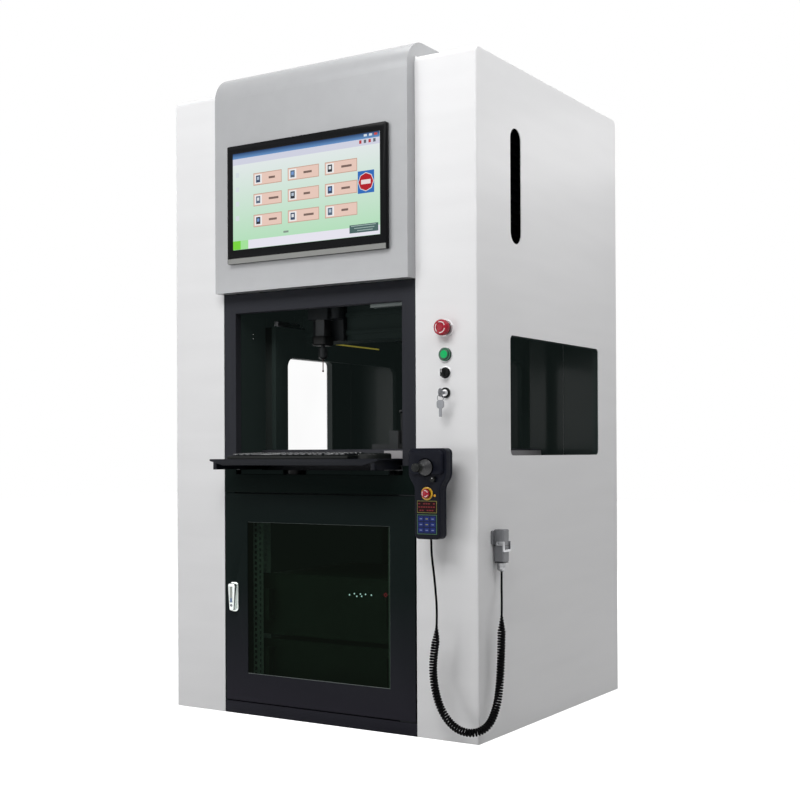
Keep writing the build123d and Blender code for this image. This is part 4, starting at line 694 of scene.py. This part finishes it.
class CMM_OT_cabinet(bpy.types.Operator):
    """Casings, panels, plinth, frame, windows and vents"""
    bl_idname = "cmm.cabinet"
    bl_label = "Cabinet"

    def execute(self, context):
        dress("casing", "left_casing", "right_casing", "rear_panel", "roof_panel")
        softened("plinth", "plinth_folded", "cabinet", "frame")
        softened("front_frame", "front_frame_folded", "cabinet", "front", 1.2)
        dress("vent", "vent_inserts")
        dress("window", "window_panes")
        dress("abs", "mains_inlet")
        dress("frame_grey", "support_frame")
        dress("inner", "deck_panel")
        dress("wall", "jamb_liners")
        dress("lamp", "light_bar")
        dress("head", "head_cover")
        liner_x = 283
        screws = []
        for side in (-1, 1):
            for z in (1100, 1088):
                screws.append(lathe("liner_screw", Vector((side * liner_x, -380, z)) * MM, (-side, 0, 0),
                                    [(0, 3.4 * MM), (1.2 * MM, 3.2 * MM), (1.8 * MM, 2.2 * MM)], 16))
        settle(joined("liner_screws", screws), "cabinet", "plated")
        wall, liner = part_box("gantry_walls"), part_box("jamb_liners")
        for name, outer, inner in (("seal_lip_left", -liner_x * MM, wall[0].x - 0.1 * MM),
                                   ("seal_lip_right", wall[1].x + 0.3 * MM, liner_x * MM)):
            lip = slab(name, (outer, liner[1].y - 3 * MM, 759.7 * MM),
                       (inner, liner[1].y - 1 * MM, 1124 * MM), 0.5 * MM)
            settle(lip, "cabinet", "rubber_lip")
        return {"FINISHED"}


class CMM_OT_monitor(bpy.types.Operator):
    """Screen housing and the picture on the screen"""
    bl_idname = "cmm.monitor"
    bl_label = "Monitor"

    def execute(self, context):
        softened("monitor_housing", "monitor_bezel", "cabinet", "bezel", 1.0)
        low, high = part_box("monitor_housing")
        # A light silver-grey band along the foot of the bezel
        chin = slab("monitor_chin", (low.x + 2 * MM, low.y - 0.3 * MM, low.z + 0.5 * MM),
                    (high.x - 2 * MM, low.y + 0.5 * MM, low.z + 15 * MM), 0.25 * MM)
        settle(chin, "cabinet", "chin")
        low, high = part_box("monitor_screen")
        wide, tall = high.x - low.x, high.z - low.z
        layer = 0.15 * MM
        glow, sign_glow, off = 0.92, 0.85, "#050505"
        colours = {}
        tiles = []

        def tile(u0, u1, v0, v1, level, look):
            """A flat patch of the picture in a colour or a material, u from the left and v from the top."""
            if isinstance(look, str):
                if look not in colours:
                    colours[look] = lit("Display " + look, look, glow, base=off)
                look = colours[look]
            face = low.y - layer * level
            tiles.append(painted(slab("tile", (low.x + u0 * wide, face, high.z - v1 * tall),
                                      (low.x + u1 * wide, face + layer * 0.9, high.z - v0 * tall)), look))

        def gradient(name, top, bottom, z_low, z_high):
            """A lit face whose colour runs from bottom to top."""
            material, tree, output = new_material(name)
            coords = add(tree, "ShaderNodeTexCoord").outputs["Object"]
            height = add(tree, "ShaderNodeSeparateXYZ", {0: coords}).outputs[2]
            share = add(tree, "ShaderNodeMapRange", {"Value": height, "From Min": z_low,
                                                     "From Max": z_high}).outputs[0]
            tone = add(tree, "ShaderNodeMix", {0: share, "A": linear(bottom), "B": linear(top)},
                       data_type="RGBA").outputs["Result"]
            shader = add(tree, "ShaderNodeBsdfPrincipled", {
                "Base Color": linear(off), "Roughness": 0.2, "Specular IOR Level": 0.1,
                "Emission Color": tone, "Emission Strength": glow})
            tree.links.new(shader.outputs[0], output.inputs[0])
            return material

        ground = slab("screen_ground", low, high)
        settle(ground, "cabinet", gradient("Display ground", "#EDF0F4", "#B4E4BC", low.z, high.z),
               ("monitor_screen",))
        # The title bar, the tool bar and the foot with its two green marks, its grey sign and a small mark
        title = 0.056
        blue = gradient("Display title bar", "#20406E", "#6896CC", high.z - title * tall, high.z)
        tile(0, 1, 0, title, 1, blue)
        for patch in ((0, 1, title, 0.12, 1, "#D8DAEA"), (0, 1, 0.91, 1, 1, "#EFEDF8"),
                      (0, 0.055, 0.91, 1, 2, "#7BDC3C"), (0.055, 0.11, 0.91, 1, 2, "#A9EBA0"),
                      (0.805, 0.99, 0.885, 0.965, 2, "#4E6A68"), (0.36, 0.395, 0.86, 0.88, 2, "#8A9A90")):
            tile(*patch)
        for row in range(3):
            v = 0.893 + 0.024 * row
            tile(0.815 + 0.02 * row, 0.975 - 0.01 * row, v, v + 0.007, 3, "#A8BCB8")
        # Nine buttons, each a rim, a face, a picture in its frame and a bar for its words
        columns = ((0.153, 0.345), (0.395, 0.6), (0.648, 0.852))
        rows = ((0.238, 0.35), (0.452, 0.564), (0.667, 0.779))
        for i, (u0, u1) in enumerate(columns):
            for j, (v0, v1) in enumerate(rows):
                middle = (v0 + v1) / 2
                label = 0.022 + 0.006 * ((i + 2 * j) % 3)
                picture = ("#3C4C68", "#5A6B80", "#2C3038")[(i + j) % 3]
                detail = ("#B9C8D8", "#7AA0D8", "#E8EAEC")[(i + 2 * j) % 3]
                tile(u0 - 0.004, u1 + 0.004, v0 - 0.008, v1 + 0.008, 1, "#CFA896")
                tile(u0, u1, v0, v1, 2, "#F0D0C2")
                tile(u0 + 0.006, u0 + 0.056, v0 + 0.008, v1 - 0.008, 3, "#F7F7F7")
                tile(u0 + 0.015, u0 + 0.045, v0 + 0.02, v1 - 0.02, 4, picture)
                tile(u0 + 0.022, u0 + 0.038, v0 + 0.034, v1 - 0.046, 5, detail)
                tile(u0 + 0.105, u0 + 0.105 + 2 * label, middle - 0.011, middle + 0.011, 3, "#7E6860")
        # Marks down the left, in the tool bar and in the title bar
        for k in range(4):
            tile(0.02, 0.045, 0.2 + 0.15 * k, 0.25 + 0.15 * k, 1, "#DCE6EA")
            tile(0.87 + 0.03 * k, 0.885 + 0.03 * k, 0.065, 0.098, 2, ("#C04040", "#606870")[k % 2])
        for k in range(3):
            tile(0.9 + 0.033 * k, 0.92 + 0.033 * k, 0.012, 0.034, 2, ("#DDE6F0", "#D04A40")[k == 2])
        # The stop sign on its blue ground
        tile(0.86, 0.965, 0.367, 0.586, 2, "#2F6FC0")
        for level, size, colour in ((3, 0.0255, "#F0F0F0"), (4, 0.0235, "#C01828")):
            centre = (low.x + 0.9125 * wide, low.y - layer * (level - 1), high.z - 0.4765 * tall)
            disc = lathe("tile", centre, (0, -1, 0), ((0, size), (layer, size)), vertices=8)
            tiles.append(painted(disc, lit("Display " + colour, colour, sign_glow, base=off)))
        tile(0.882, 0.943, 0.455, 0.498, 6, "#F0E4E4")
        settle(joined("screen_picture", tiles), "cabinet", None)
        return {"FINISHED"}


class CMM_OT_measuring_unit(bpy.types.Operator):
    """Base, gantry, bridge, ram and probe"""
    bl_idname = "cmm.measuring_unit"
    bl_label = "Measuring unit"

    def execute(self, context):
        softened("machine_base", "machine_base_block", "cabinet", "base", 0.8)
        dress("rubber", "vibration_mounts")
        softened("gantry_walls", "gantry_wall_castings", "cabinet", "wall", 1.5)
        dress("steel", "y_rails")
        dress("dark_steel", "reference_sphere")
        dress("dark_steel", "touch_probe")
        low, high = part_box("y_scale")
        middle = (low.z + high.z) / 2
        half_tape = 2.1 * MM
        tape = slab("scale_tape", (low.x, -75 * MM, middle - half_tape), (high.x, high.y, middle + half_tape))
        settle(tape, "cabinet", "gold", ("y_scale",))
        dress("chain", "energy_chain")
        softened("bridge_beam", "bridge_beam_cover", "bridge", "wall", 1.5)
        softened("x_carriage", "carriage_cover", "carriage", "frame_grey", 1.5)
        softened("z_ram", "ram_column", "ram", "dark_steel", 0.8)
        softened("probe_head", "probe_head_body", "ram", "abs", 0.6)
        dress("ruby", "stylus")
        return {"FINISHED"}


def key_cap(width, depth, height):
    """One key cap, its lower left corner on the user's side at the origin, smaller at the top and rounded."""
    cap = slab("key_cap", (0, 0, 0), (width, depth, height))
    for face in cap.data.polygons:
        face.select = face.normal.z > 0.9
    bpy.ops.object.mode_set(mode="EDIT")
    bpy.ops.mesh.select_mode(type="FACE")
    bpy.ops.transform.resize(value=((width - 2.6 * MM) / width, (depth - 3.4 * MM) / depth, 1),
                             center_override=(width / 2, depth / 2 + 0.5 * MM, height))
    bpy.ops.mesh.inset(thickness=0.8 * MM, depth=-0.25 * MM)
    bpy.ops.object.mode_set(mode="OBJECT")
    rounded(cap, 0.4 * MM, 1, 40)
    return painted(smooth(cap, 50), "keycap")


# Key widths row by row from the user's side, in key units; a number in brackets is a gap
KEY_ROWS = (
    (1.25, 1.25, 1.25, 6.25, 1.25, 1.25, 1.25, 1.25, (0.25,), 1, 1, 1, (0.25,), 2, 1, 1),
    (2.25, 1, 1, 1, 1, 1, 1, 1, 1, 1, 1, 2.75, (1.25,), 1, (1.25,), 1, 1, 1, 1),
    (1.75, 1, 1, 1, 1, 1, 1, 1, 1, 1, 1, 1, 2.25, (3.5,), 1, 1, 1, 1),
    (1.5, 1, 1, 1, 1, 1, 1, 1, 1, 1, 1, 1, 1, 1.5, (0.25,), 1, 1, 1, (0.25,), 1, 1, 1, 1),
    (1, 1, 1, 1, 1, 1, 1, 1, 1, 1, 1, 1, 1, 2, (0.25,), 1, 1, 1, (0.25,), 1, 1, 1, 1),
    (1, (1,), 1, 1, 1, 1, (0.5,), 1, 1, 1, 1, (0.5,), 1, 1, 1, 1, (0.25,), 1, 1, 1),
)


class CMM_OT_tray(bpy.types.Operator):
    """Keyboard tray with its keyboard and mouse"""
    bl_idname = "cmm.tray"
    bl_label = "Keyboard tray"

    def execute(self, context):
        softened("tray_panel", "tray_folded", "keyboard_tray", "tray", 1.0)
        dress("dark_steel", "tray_slides")
        softened("keyboard_case", "keyboard_case_moulded", "keyboard_tray", "abs", 1.2, 3)
        low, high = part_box("keyboard_keys")
        unit = (high.x - low.x) / 22.5
        gap = 1.6 * MM
        row_depth = (high.y - low.y + gap) / 6.4
        height = 5.2 * MM
        fall = 0.025
        keys = []
        for row, widths in enumerate(KEY_ROWS):
            x = low.x
            y = low.y + row_depth * (row if row < 5 else 5.4)
            top = high.z - fall * (high.y - y - row_depth)
            for width in widths:
                if isinstance(width, tuple):
                    x += width[0] * unit
                    continue
                cap = key_cap(width * unit - gap, row_depth - gap, height)
                cap.location = (x, y, min(top, high.z) - height)
                keys.append(apply_place(cap))
                x += width * unit
        settle(joined("keyboard_keys_full", keys), "keyboard_tray", None, ("keyboard_keys",))
        dress("abs", "mouse")
        wheel = lathe("mouse_wheel", Vector((228.5, -494, 740)) * MM, (1, 0, 0),
                       [(0, 7.6 * MM), (0.8 * MM, 8.6 * MM), (6.2 * MM, 8.6 * MM), (7 * MM, 7.6 * MM)], 32)
        settle(wheel, "keyboard_tray", "rubber")
        return {"FINISHED"}


class CMM_OT_door(bpy.types.Operator):
    """Door, latch and the rack behind it"""
    bl_idname = "cmm.door"
    bl_label = "Door and rack"

    def execute(self, context):
        softened("door_frame", "door_folded", "door", "door", 1.0)
        dress("door_glass", "door_glass")
        softened("latch_plate", "latch_escutcheon", "door", "plated", 0.8, 3)
        softened("latch_handle", "latch_lever", "latch", "plated", 1.0, 3)
        barrel = front_disc("latch_lock_barrel", -289, 312, -480.1, ((0, 4.4), (0.3, 4.3), (0.35, 3.6)), 32)
        # A thin black strip stands proud of the barrel as the key's slot: painted shade for the keyhole
        slot = plate("latch_key_slot", -289.5, -288.5, -480.7, -480.3, 309.6, 314.4)
        settle(joined("latch_lock", [painted(barrel, "nickel"), painted(slot, "vent")]), "latch", None)
        # Two flat patches stand proud of the latch plate: a grey one painted as the shade of a recess, and
        # below it a blue one painted as the sky's reflection
        recess_shade_patch = plate("latch_painted_patch", -294.2, -284.4, -480.85, -480.2, 320, 366, 0.5)
        lower = plate("latch_painted_patch", -293.2, -285.4, -480.95, -480.3, 320.5, 333, 0.4)
        settle(joined("latch_painted_shade_and_sky", [painted(recess_shade_patch, "painted_recess_shade"), painted(lower, "painted_sky_reflection")]),
               "latch", None)
        self.rack()
        self.gasket_and_painted_highlight()
        return {"FINISHED"}

    def gasket_and_painted_highlight(self):
        """A thin grey line along the bottom, top and right of the door's window, inside its reveal: a painted
        highlight of the frame's lit edges.
        """
        low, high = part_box("door_glass")
        hidden = 14
        side, sill, top = high.x / MM - hidden, low.z / MM + hidden, high.z / MM - hidden
        bars = [plate("gasket_and_painted_highlight", x0, side, FRONT_Y + 1.8, FRONT_Y + 2.8, z0, z1) for x0, z0, z1 in
                ((-side, sill, sill + 1.2), (-side, top - 0.8, top), (side - 1.4, sill + 1.2, top - 0.8))]
        settle(joined("glass_painted_highlight", bars), "door", "gasket_and_painted_highlight")

    def rack(self):
        """Rails, boxes, the punched strips over the boxes' ears and the pilot lamps."""
        dress("zinc", "rack_rails")
        dress("rack", "rack_units")
        strips = []
        pitch, hole, foot, top = 16, 9, 60, 586

        def strip(side, inner, outer, z0, z1):
            """A flat piece in front of the ears, on the left or on the right."""
            strips.append(plate("strip", *sorted((side * inner, side * outer)), EAR_Y - 1.2, EAR_Y, z0, z1))

        for side in (-1, 1):
            for inner, outer in ((214, 219), (228, 237), (246, 250)):
                strip(side, inner, outer, foot, top)
            for inner, outer, start in ((219, 228, foot), (237, 246, foot + pitch / 2)):
                for row in range(32):
                    z = start + row * pitch
                    strip(side, inner, outer, z, z + pitch - hole)
        settle(joined("rack_strips", strips), "cabinet", "zinc")
        face = EAR_Y + 0.15
        places = ((86, 358), (102, 362), (110, 355), (122, 362), (126, 356), (139, 362), (158, 361))
        pilots = [painted(front_disc("pilot", px, pz, face, ((0, 2.2), (0.5, 2.2), (0.9, 1.4)), 12), "pilot")
                  for px, pz in places]
        red = front_ring("pilot", 204, 364, face, ((0, 4.0), (0, 6.4), (0.6, 6.2), (0.6, 4.2)), 4)
        settle(joined("rack_pilots", pilots + [painted(red, "red_pilot")]), "cabinet", None)


class CMM_OT_controls(bpy.types.Operator):
    """Stop, start, selector and key switch on the right casing, and the cord's socket"""
    bl_idname = "cmm.controls"
    bl_label = "Controls"

    def execute(self, context):
        x = COLUMN_X
        dress("abs", "control_bezels")
        rings = [painted(front_ring("ring", x, z, back, profile), look) for z, back, look, profile in (
            (STOP_Z, FRONT_Y, "silver_ring",
             ((0, 17.1), (0, 22.6), (1.2, 22.2), (1.6, 21.4), (1.6, 17.1))),
            (START_Z, FRONT_Y, "silver_ring", ((0, 18.1), (0, 19.6), (1.4, 19.2), (1.4, 18.1))),
            (START_Z, FRONT_Y - 6, "green_ring",
             ((0.05, 13.3), (0.05, 17.9), (0.5, 17.6), (0.9, 16.6), (0.9, 14.0), (0.5, 13.4))),
            (SELECTOR_Z, FRONT_Y, "silver_ring",
             ((0, 14.6), (0, 17.2), (1.6, 16.8), (2.0, 16.0), (2.0, 14.6))),
            (KEY_Z, FRONT_Y, "silver_ring", ((0, 14.1), (0, 15.6), (1.2, 15.2), (1.2, 14.1))))]
        settle(joined("control_rings", rings), "cabinet", None)

        low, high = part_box("stop_button")
        deep = (high.y - low.y) / MM
        cap = front_disc("stop_cap", x, STOP_Z, high.y / MM,
                         ((0, 9), (deep - 19, 9), (deep - 18.9, 17), (deep - 18.2, 19.6), (deep - 16.5, 20.7),
                          (deep - 13, 21), (deep - 5, 20.8), (deep - 2.2, 20.0), (deep - 0.9, 18.6),
                          (deep - 0.4, 17.0), (deep - 0.35, 10.8), (deep - 1.5, 10.2), (deep - 1.5, 9.2),
                          (deep - 0.2, 8.4), (deep, 6.4)))
        smooth(cap, 50)
        dish = low.y / MM + 0.38
        marks = [arcs("stop_marks", Vector((x, dish, STOP_Z)) * MM, 13.0 * MM, 15.0 * MM, ARROW_SPANS, INK)]
        for _, turn in ARROW_SPANS:
            head = lathe("stop_head", (0, 0, 0), (0, -1, 0), ((0, 2.6 * MM), (INK, 2.6 * MM)), 3)
            head.rotation_euler = (0, math.radians(-turn), 0)
            head.location = Vector((x + 14 * math.cos(math.radians(turn)), dish,
                                    STOP_Z + 14 * math.sin(math.radians(turn)))) * MM
            marks.append(apply_place(head))
        parts = [painted(cap, "red")] + [painted(mark, "white_mark") for mark in marks]
        settle(joined("stop_mushroom", parts), "stop", None, ("stop_button",))

        low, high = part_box("start_button")
        deep = (high.y - low.y) / MM
        lens = front_disc("start_lens", x, START_Z, high.y / MM,
                          ((0, 10), (deep - 5.6, 10), (deep - 5.5, 13), (deep - 1.8, 13), (deep - 0.9, 12.4),
                           (deep - 0.5, 10.8), (deep - 0.4, 8)))
        light = front_disc("start_light", x, START_Z, low.y / MM + 0.4, ((0, 10.2), (0.2, 10.1), (0.4, 9.4)))
        settle(joined("start_lens_lit", [painted(smooth(lens, 50), "green_ring"),
                                         painted(smooth(light, 50), "green")]),
               "start", None, ("start_button",))

        softened("selector_knob", "selector_grip", "selector", "abs", 0.8)
        settle(plate("selector_mark", x - 0.8, x + 0.8, -487.45, -487.0, 957.5, 966, 0.1), "selector",
               "white_mark")
        # A pale crescent on the left of the knob, in the rings' silver finish: a painted highlight
        painted_shine = arcs("selector_painted_highlight", Vector((x, -476.25, SELECTOR_Z)) * MM, 8.2 * MM, 11.8 * MM,
                     ((118, 242),), INK)
        settle(painted_shine, "selector", "silver_ring")
        core = front_disc("lock_face", x, KEY_Z, -469.3, ((0, 8.8), (0.4, 8.6), (0.6, 7.6)), 40)
        settle(core, "key", "silver_ring")
        dress("nickel", "switch_key")
        dress("nickel", "key_ring")

        softened("connector_base", "connector_housing", "cabinet", "alloy", 1.0)
        dress("alloy", "connector_hood")
        gasket_and_painted_highlight = plate("connector_gasket", 511.7, 542.4, -382.4, -349.6, 505.2, 506.8, 0.4)
        seam = plate("connector_seam", 513.5, 540.5, -380.5, -351.5, 460.8, 462.4, 0.4)
        profile = ((0, 11.4), (1.2, 12.2), (9.5, 12.2), (10.2, 11.2), (11.0, 11.2), (11.7, 12.0),
                   (16.5, 11.6), (19.5, 9.6), (21.6, 6.6), (22.6, 3.5))
        nut = lathe("connector_nut", Vector((527, -366, 461)) * MM, (0, 0, -1),
                    [(d * MM, r * MM) for d, r in profile], 24)
        settle(joined("connector_trim", [painted(gasket_and_painted_highlight, "rubber"), painted(seam, "rubber"),
                                         painted(smooth(nut, 25), "gland")]), "cabinet", None)
        softened("connector_lever", "connector_clip", "plug_lever", "steel", 0.5)
        dress("steel", "pendant_hook")
        return {"FINISHED"}


class CMM_OT_pendant(bpy.types.Operator):
    """Hand control with joystick, stop button and membrane panels"""
    bl_idname = "cmm.pendant"
    bl_label = "Hand control"

    def execute(self, context):
        x, face = PENDANT_X, PENDANT_FACE
        softened("pendant_front_shell", "pendant_front_moulded", "pendant", "pendant", 1.6, 3)
        softened("pendant_back_shell", "pendant_back_moulded", "pendant", "pendant", 1.2, 3)

        collar = front_ring("panel", x, PENDANT_STOP_Z, face,
                            ((0, 11.6), (0, 17.0), (1.0, 17.0), (1.7, 15.8), (1.7, 12.6), (1.0, 11.6)))
        parts = [painted(smooth(collar, 40), "yellow")]

        def label(x0, x1, z0, z1, level, key, width=0.0):
            """A flat printed or moulded patch on the hand control's face."""
            patch = plate("panel", x0, x1, face - level, face - level + 0.9, z0, z1, width)
            parts.append(painted(patch, key))

        label(x - 29, x + 29, 595.5, 626.5, 1.0, "lime_line", 0.3)
        label(x - 28, x + 28, 596.6, 625.4, 1.15, "display")
        for row, start in ((619, -25), (610.5, -25), (602, -22)):
            for k in range(7):
                if (k + row) % 4:
                    label(x + start + 7.2 * k, x + start + 7.2 * k + 5.2, row - 1.7, row + 1.7, 1.3, "digits")
        label(x - 29, x + 29, 541, 591, 1.0, "green_line", 0.3)
        label(x - 28, x + 28, 542, 590, 1.15, "blue")
        for i in (-1, 0, 1):
            for j in (-1, 0, 1):
                u, v = x + 17.5 * i, 566 + 14.5 * j
                label(u - 7.2, u + 7.2, v - 5.6, v + 5.6, 1.8, "blue_key", 0.4)
                label(u - 3.6, u + 3.6, v - 1.4, v + 1.0, 1.9, "faint_mark" if j < 0 or i else "lime_line")
        settle(joined("pendant_labels", parts), "pendant", None, ("pendant_panels",))
        pilot = front_disc("pendant_pilot", x + 23, 640, face, ((0, 3.2), (1.0, 3.2), (1.6, 2.2)), 24)
        settle(pilot, "pendant", "dot")

        low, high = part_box("pendant_stop")
        deep = (high.y - low.y) / MM
        cap = front_disc("cap", x, PENDANT_STOP_Z, high.y / MM,
                         ((0, 5), (deep - 7.1, 5), (deep - 7, 10.5), (deep - 6, 11.6), (deep - 3, 12),
                          (deep - 1.2, 11.4), (deep - 0.3, 10.0), (deep - 0.3, 6.4), (deep - 0.8, 6.0),
                          (deep - 0.8, 5.2), (deep, 4.4)), 40)
        marks = arcs("cap_marks", Vector((x, low.y / MM + 0.32, PENDANT_STOP_Z)) * MM, 7.4 * MM, 8.8 * MM,
                     ARROW_SPANS, INK)
        settle(joined("pendant_stop_mushroom", [painted(smooth(cap, 50), "red"),
                                                painted(marks, "white_mark")]),
               "pendant_stop", None, ("pendant_stop",))

        dress("abs", "pendant_knob")
        dot = front_disc("pendant_knob_dot", x + 20, 684.2, -549.9, ((0, 1.3), (0.2, 1.2)), 20)
        settle(dot, "pendant_knob", "white_mark")

        dress("dark_steel", "joystick_gimbal")
        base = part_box("joystick_boot")[1].y / MM
        boot = front_disc("boot", x, JOYSTICK_Z, base,
                          ((0, 21.0), (1.4, 21.0), (3.2, 18.0), (5.6, 20.0), (7.8, 16.4), (10.4, 18.4),
                           (12.4, 14.9), (14.9, 16.7), (16.8, 13.5), (19.2, 14.9), (21.2, 12.0), (23.6, 13.0),
                           (25.4, 11.4), (27, 10.6)))
        rounded(boot, 0.5 * MM, 2, 20)
        settle(smooth(boot, 60), "joystick", "rubber", ("joystick_boot",))
        low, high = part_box("joystick_handle")
        grip = front_disc("grip", x, JOYSTICK_Z, face - 35,
                          ((0, 9.2), (1.5, 10.4), (4, 10.6), (5, 9.8), (12, 9.6), (17, 10.4), (22, 11),
                           (24.6, 10.8), (26.2, 9.2), (27.0, 6.4)), 40)
        ball = high.y / MM - face
        stem = front_disc("stem", x, JOYSTICK_Z, high.y / MM,
                          ((0, 0.4 * ball), (0.4 * ball, 0.8 * ball), (ball, ball), (1.6 * ball, 0.8 * ball),
                           (1.9 * ball, 5), (44, 5)), 32)
        pin_length, pin_radius = 30, 1.5 * MM
        pin = lathe("pin", Vector((x, face, JOYSTICK_Z - pin_length / 2)) * MM, (0, 0, 1),
                    ((0, pin_radius), (pin_length * MM, pin_radius)), 16)
        settle(joined("joystick_grip", [smooth(part, 50) for part in (grip, stem, pin)]), "joystick", "abs",
               ("joystick_handle",))
        return {"FINISHED"}


# The cord's route, point for point as in the CAD source
LEAD_ROUTE = [(405, -521, 528), (405, -521, 492), (412, -521, 446), (417, -521, 400), (420, -521, 366),
              (421, -521, 336), (420, -521, 306)]
COIL_ROUTE = [(419, -521, 276), (411, -521, 232), (408, -521, 186), (416, -521, 132),
              (437, -521, 82), (476, -524, 48), (520, -514, 38), (546, -478, 52), (550, -440, 96),
              (547, -418, 150), (545, -407, 206), (545, -404, 252), (546, -404, 296), (546, -403, 330)]
PLUG_ROUTE = [(546, -402, 364), (535, -382, 394), (527, -366, 414), (527, -366, 438)]


def nurbs(name, places, resolution):
    """A NURBS curve through control points in metres."""
    curve = bpy.data.curves.new(name, "CURVE")
    curve.dimensions = "3D"
    spline = curve.splines.new("NURBS")
    spline.points.add(len(places) - 1)
    for point, place in zip(spline.points, places):
        point.co = (*place, 1)
    spline.order_u = 3
    spline.use_endpoint_u = True
    curve.resolution_u = resolution
    line = bpy.data.objects.new(name, curve)
    bpy.context.scene.collection.objects.link(line)
    bpy.context.view_layer.update()
    return line


def points_on(line):
    """The points that a curve without thickness runs through."""
    mesh = bpy.data.meshes.new_from_object(line)
    points = [v.co.copy() for v in mesh.vertices]
    bpy.data.meshes.remove(mesh)
    return points


def along(points):
    """Each point's distance along the line."""
    total = [0.0]
    for a, b in zip(points, points[1:]):
        total.append(total[-1] + (b - a).length)
    return total


class CMM_OT_cord(bpy.types.Operator):
    """The hand control's curly cord, from its gland to the plug's hood"""
    bl_idname = "cmm.cord"
    bl_label = "Curly cord"

    def execute(self, context):
        settings = context.scene.cmm_cord
        # Points read per control point, how many of them go to one on the plain ends, and points per turn
        fine, thinned, steps = 24, 8, 14
        route = LEAD_ROUTE + COIL_ROUTE + PLUG_ROUTE
        guide = nurbs("Route", [[c * MM for c in place] for place in route], fine)
        line = points_on(guide)
        bpy.data.objects.remove(guide)
        reach = along(line)
        start, end = (min(range(len(line)), key=lambda i: (line[i] - Vector(part[-1]) * MM).length)
                      for part in (LEAD_ROUTE, COIL_ROUTE))
        ramp = 2.0 * settings.coil
        turn_radius = (settings.coil - settings.diameter) / 2
        side = Vector((0, -1, 0))
        path = list(line[:start:thinned])
        distance = reach[start]
        index = start
        angle = 0.0
        while distance < reach[end]:
            while index < len(line) - 2 and reach[index + 1] < distance:
                index += 1
            ahead = (line[index + 1] - line[index]).normalized()
            share = (distance - reach[index]) / (reach[index + 1] - reach[index])
            centre = line[index].lerp(line[index + 1], share)
            side = (side - side.dot(ahead) * ahead).normalized()
            other = ahead.cross(side)
            near = min(distance - reach[start], reach[end] - distance)
            radius = turn_radius * min(1.0, near / ramp + 0.02)
            path.append(centre + side * math.cos(angle) * radius + other * math.sin(angle) * radius)
            angle += math.tau / steps
            distance += settings.pitch / steps
        path += line[end::thinned] + [line[-1]]
        helper = nurbs("curly_cord_line", path, 2)
        centreline = points_on(helper)
        curve = helper.data
        curve.bevel_depth = settings.diameter / 2
        curve.bevel_resolution = 2
        curve.use_fill_caps = True
        context.view_layer.update()
        choose(helper)
        bpy.ops.object.convert(target="MESH")
        cord = named("cord")
        smooth(cord, 60)
        painted(cord, "cord")
        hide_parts("cord_upper_lead", "curly_cord")
        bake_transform(cord)
        return {"FINISHED"}


OPERATORS = (CMM_OT_stage, CMM_OT_cabinet, CMM_OT_monitor, CMM_OT_measuring_unit, CMM_OT_tray, CMM_OT_door,
             CMM_OT_controls, CMM_OT_pendant, CMM_OT_cord)
SETTINGS = {"cmm_stage": StageSettings, "cmm_cord": CordSettings}


class CMM_PT_panel(bpy.types.Panel):
    """Lists the operators in the order they run"""
    bl_idname = "CMM_PT_panel"
    bl_label = "Measuring Machine"
    bl_space_type = "VIEW_3D"
    bl_region_type = "UI"
    bl_category = "Measuring Machine"

    def draw(self, context):
        for operator in OPERATORS:
            self.layout.operator(operator.bl_idname)
        for group in SETTINGS:
            settings = getattr(context.scene, group)
            for key in settings.bl_rna.properties.keys():
                if key not in ("rna_type", "name"):
                    self.layout.prop(settings, key)


def register():
    for kind in (*SETTINGS.values(), *OPERATORS, CMM_PT_panel):
        bpy.utils.register_class(kind)
    for name, kind in SETTINGS.items():
        setattr(bpy.types.Scene, name, bpy.props.PointerProperty(type=kind))


def unregister():
    for name in SETTINGS:
        delattr(bpy.types.Scene, name)
    for kind in reversed((*SETTINGS.values(), *OPERATORS, CMM_PT_panel)):
        bpy.utils.unregister_class(kind)


def main():
    register()
    for operator in OPERATORS:
        family, name = operator.bl_idname.split(".")
        getattr(getattr(bpy.ops, family), name)()


if __name__ == "__main__":
    main()
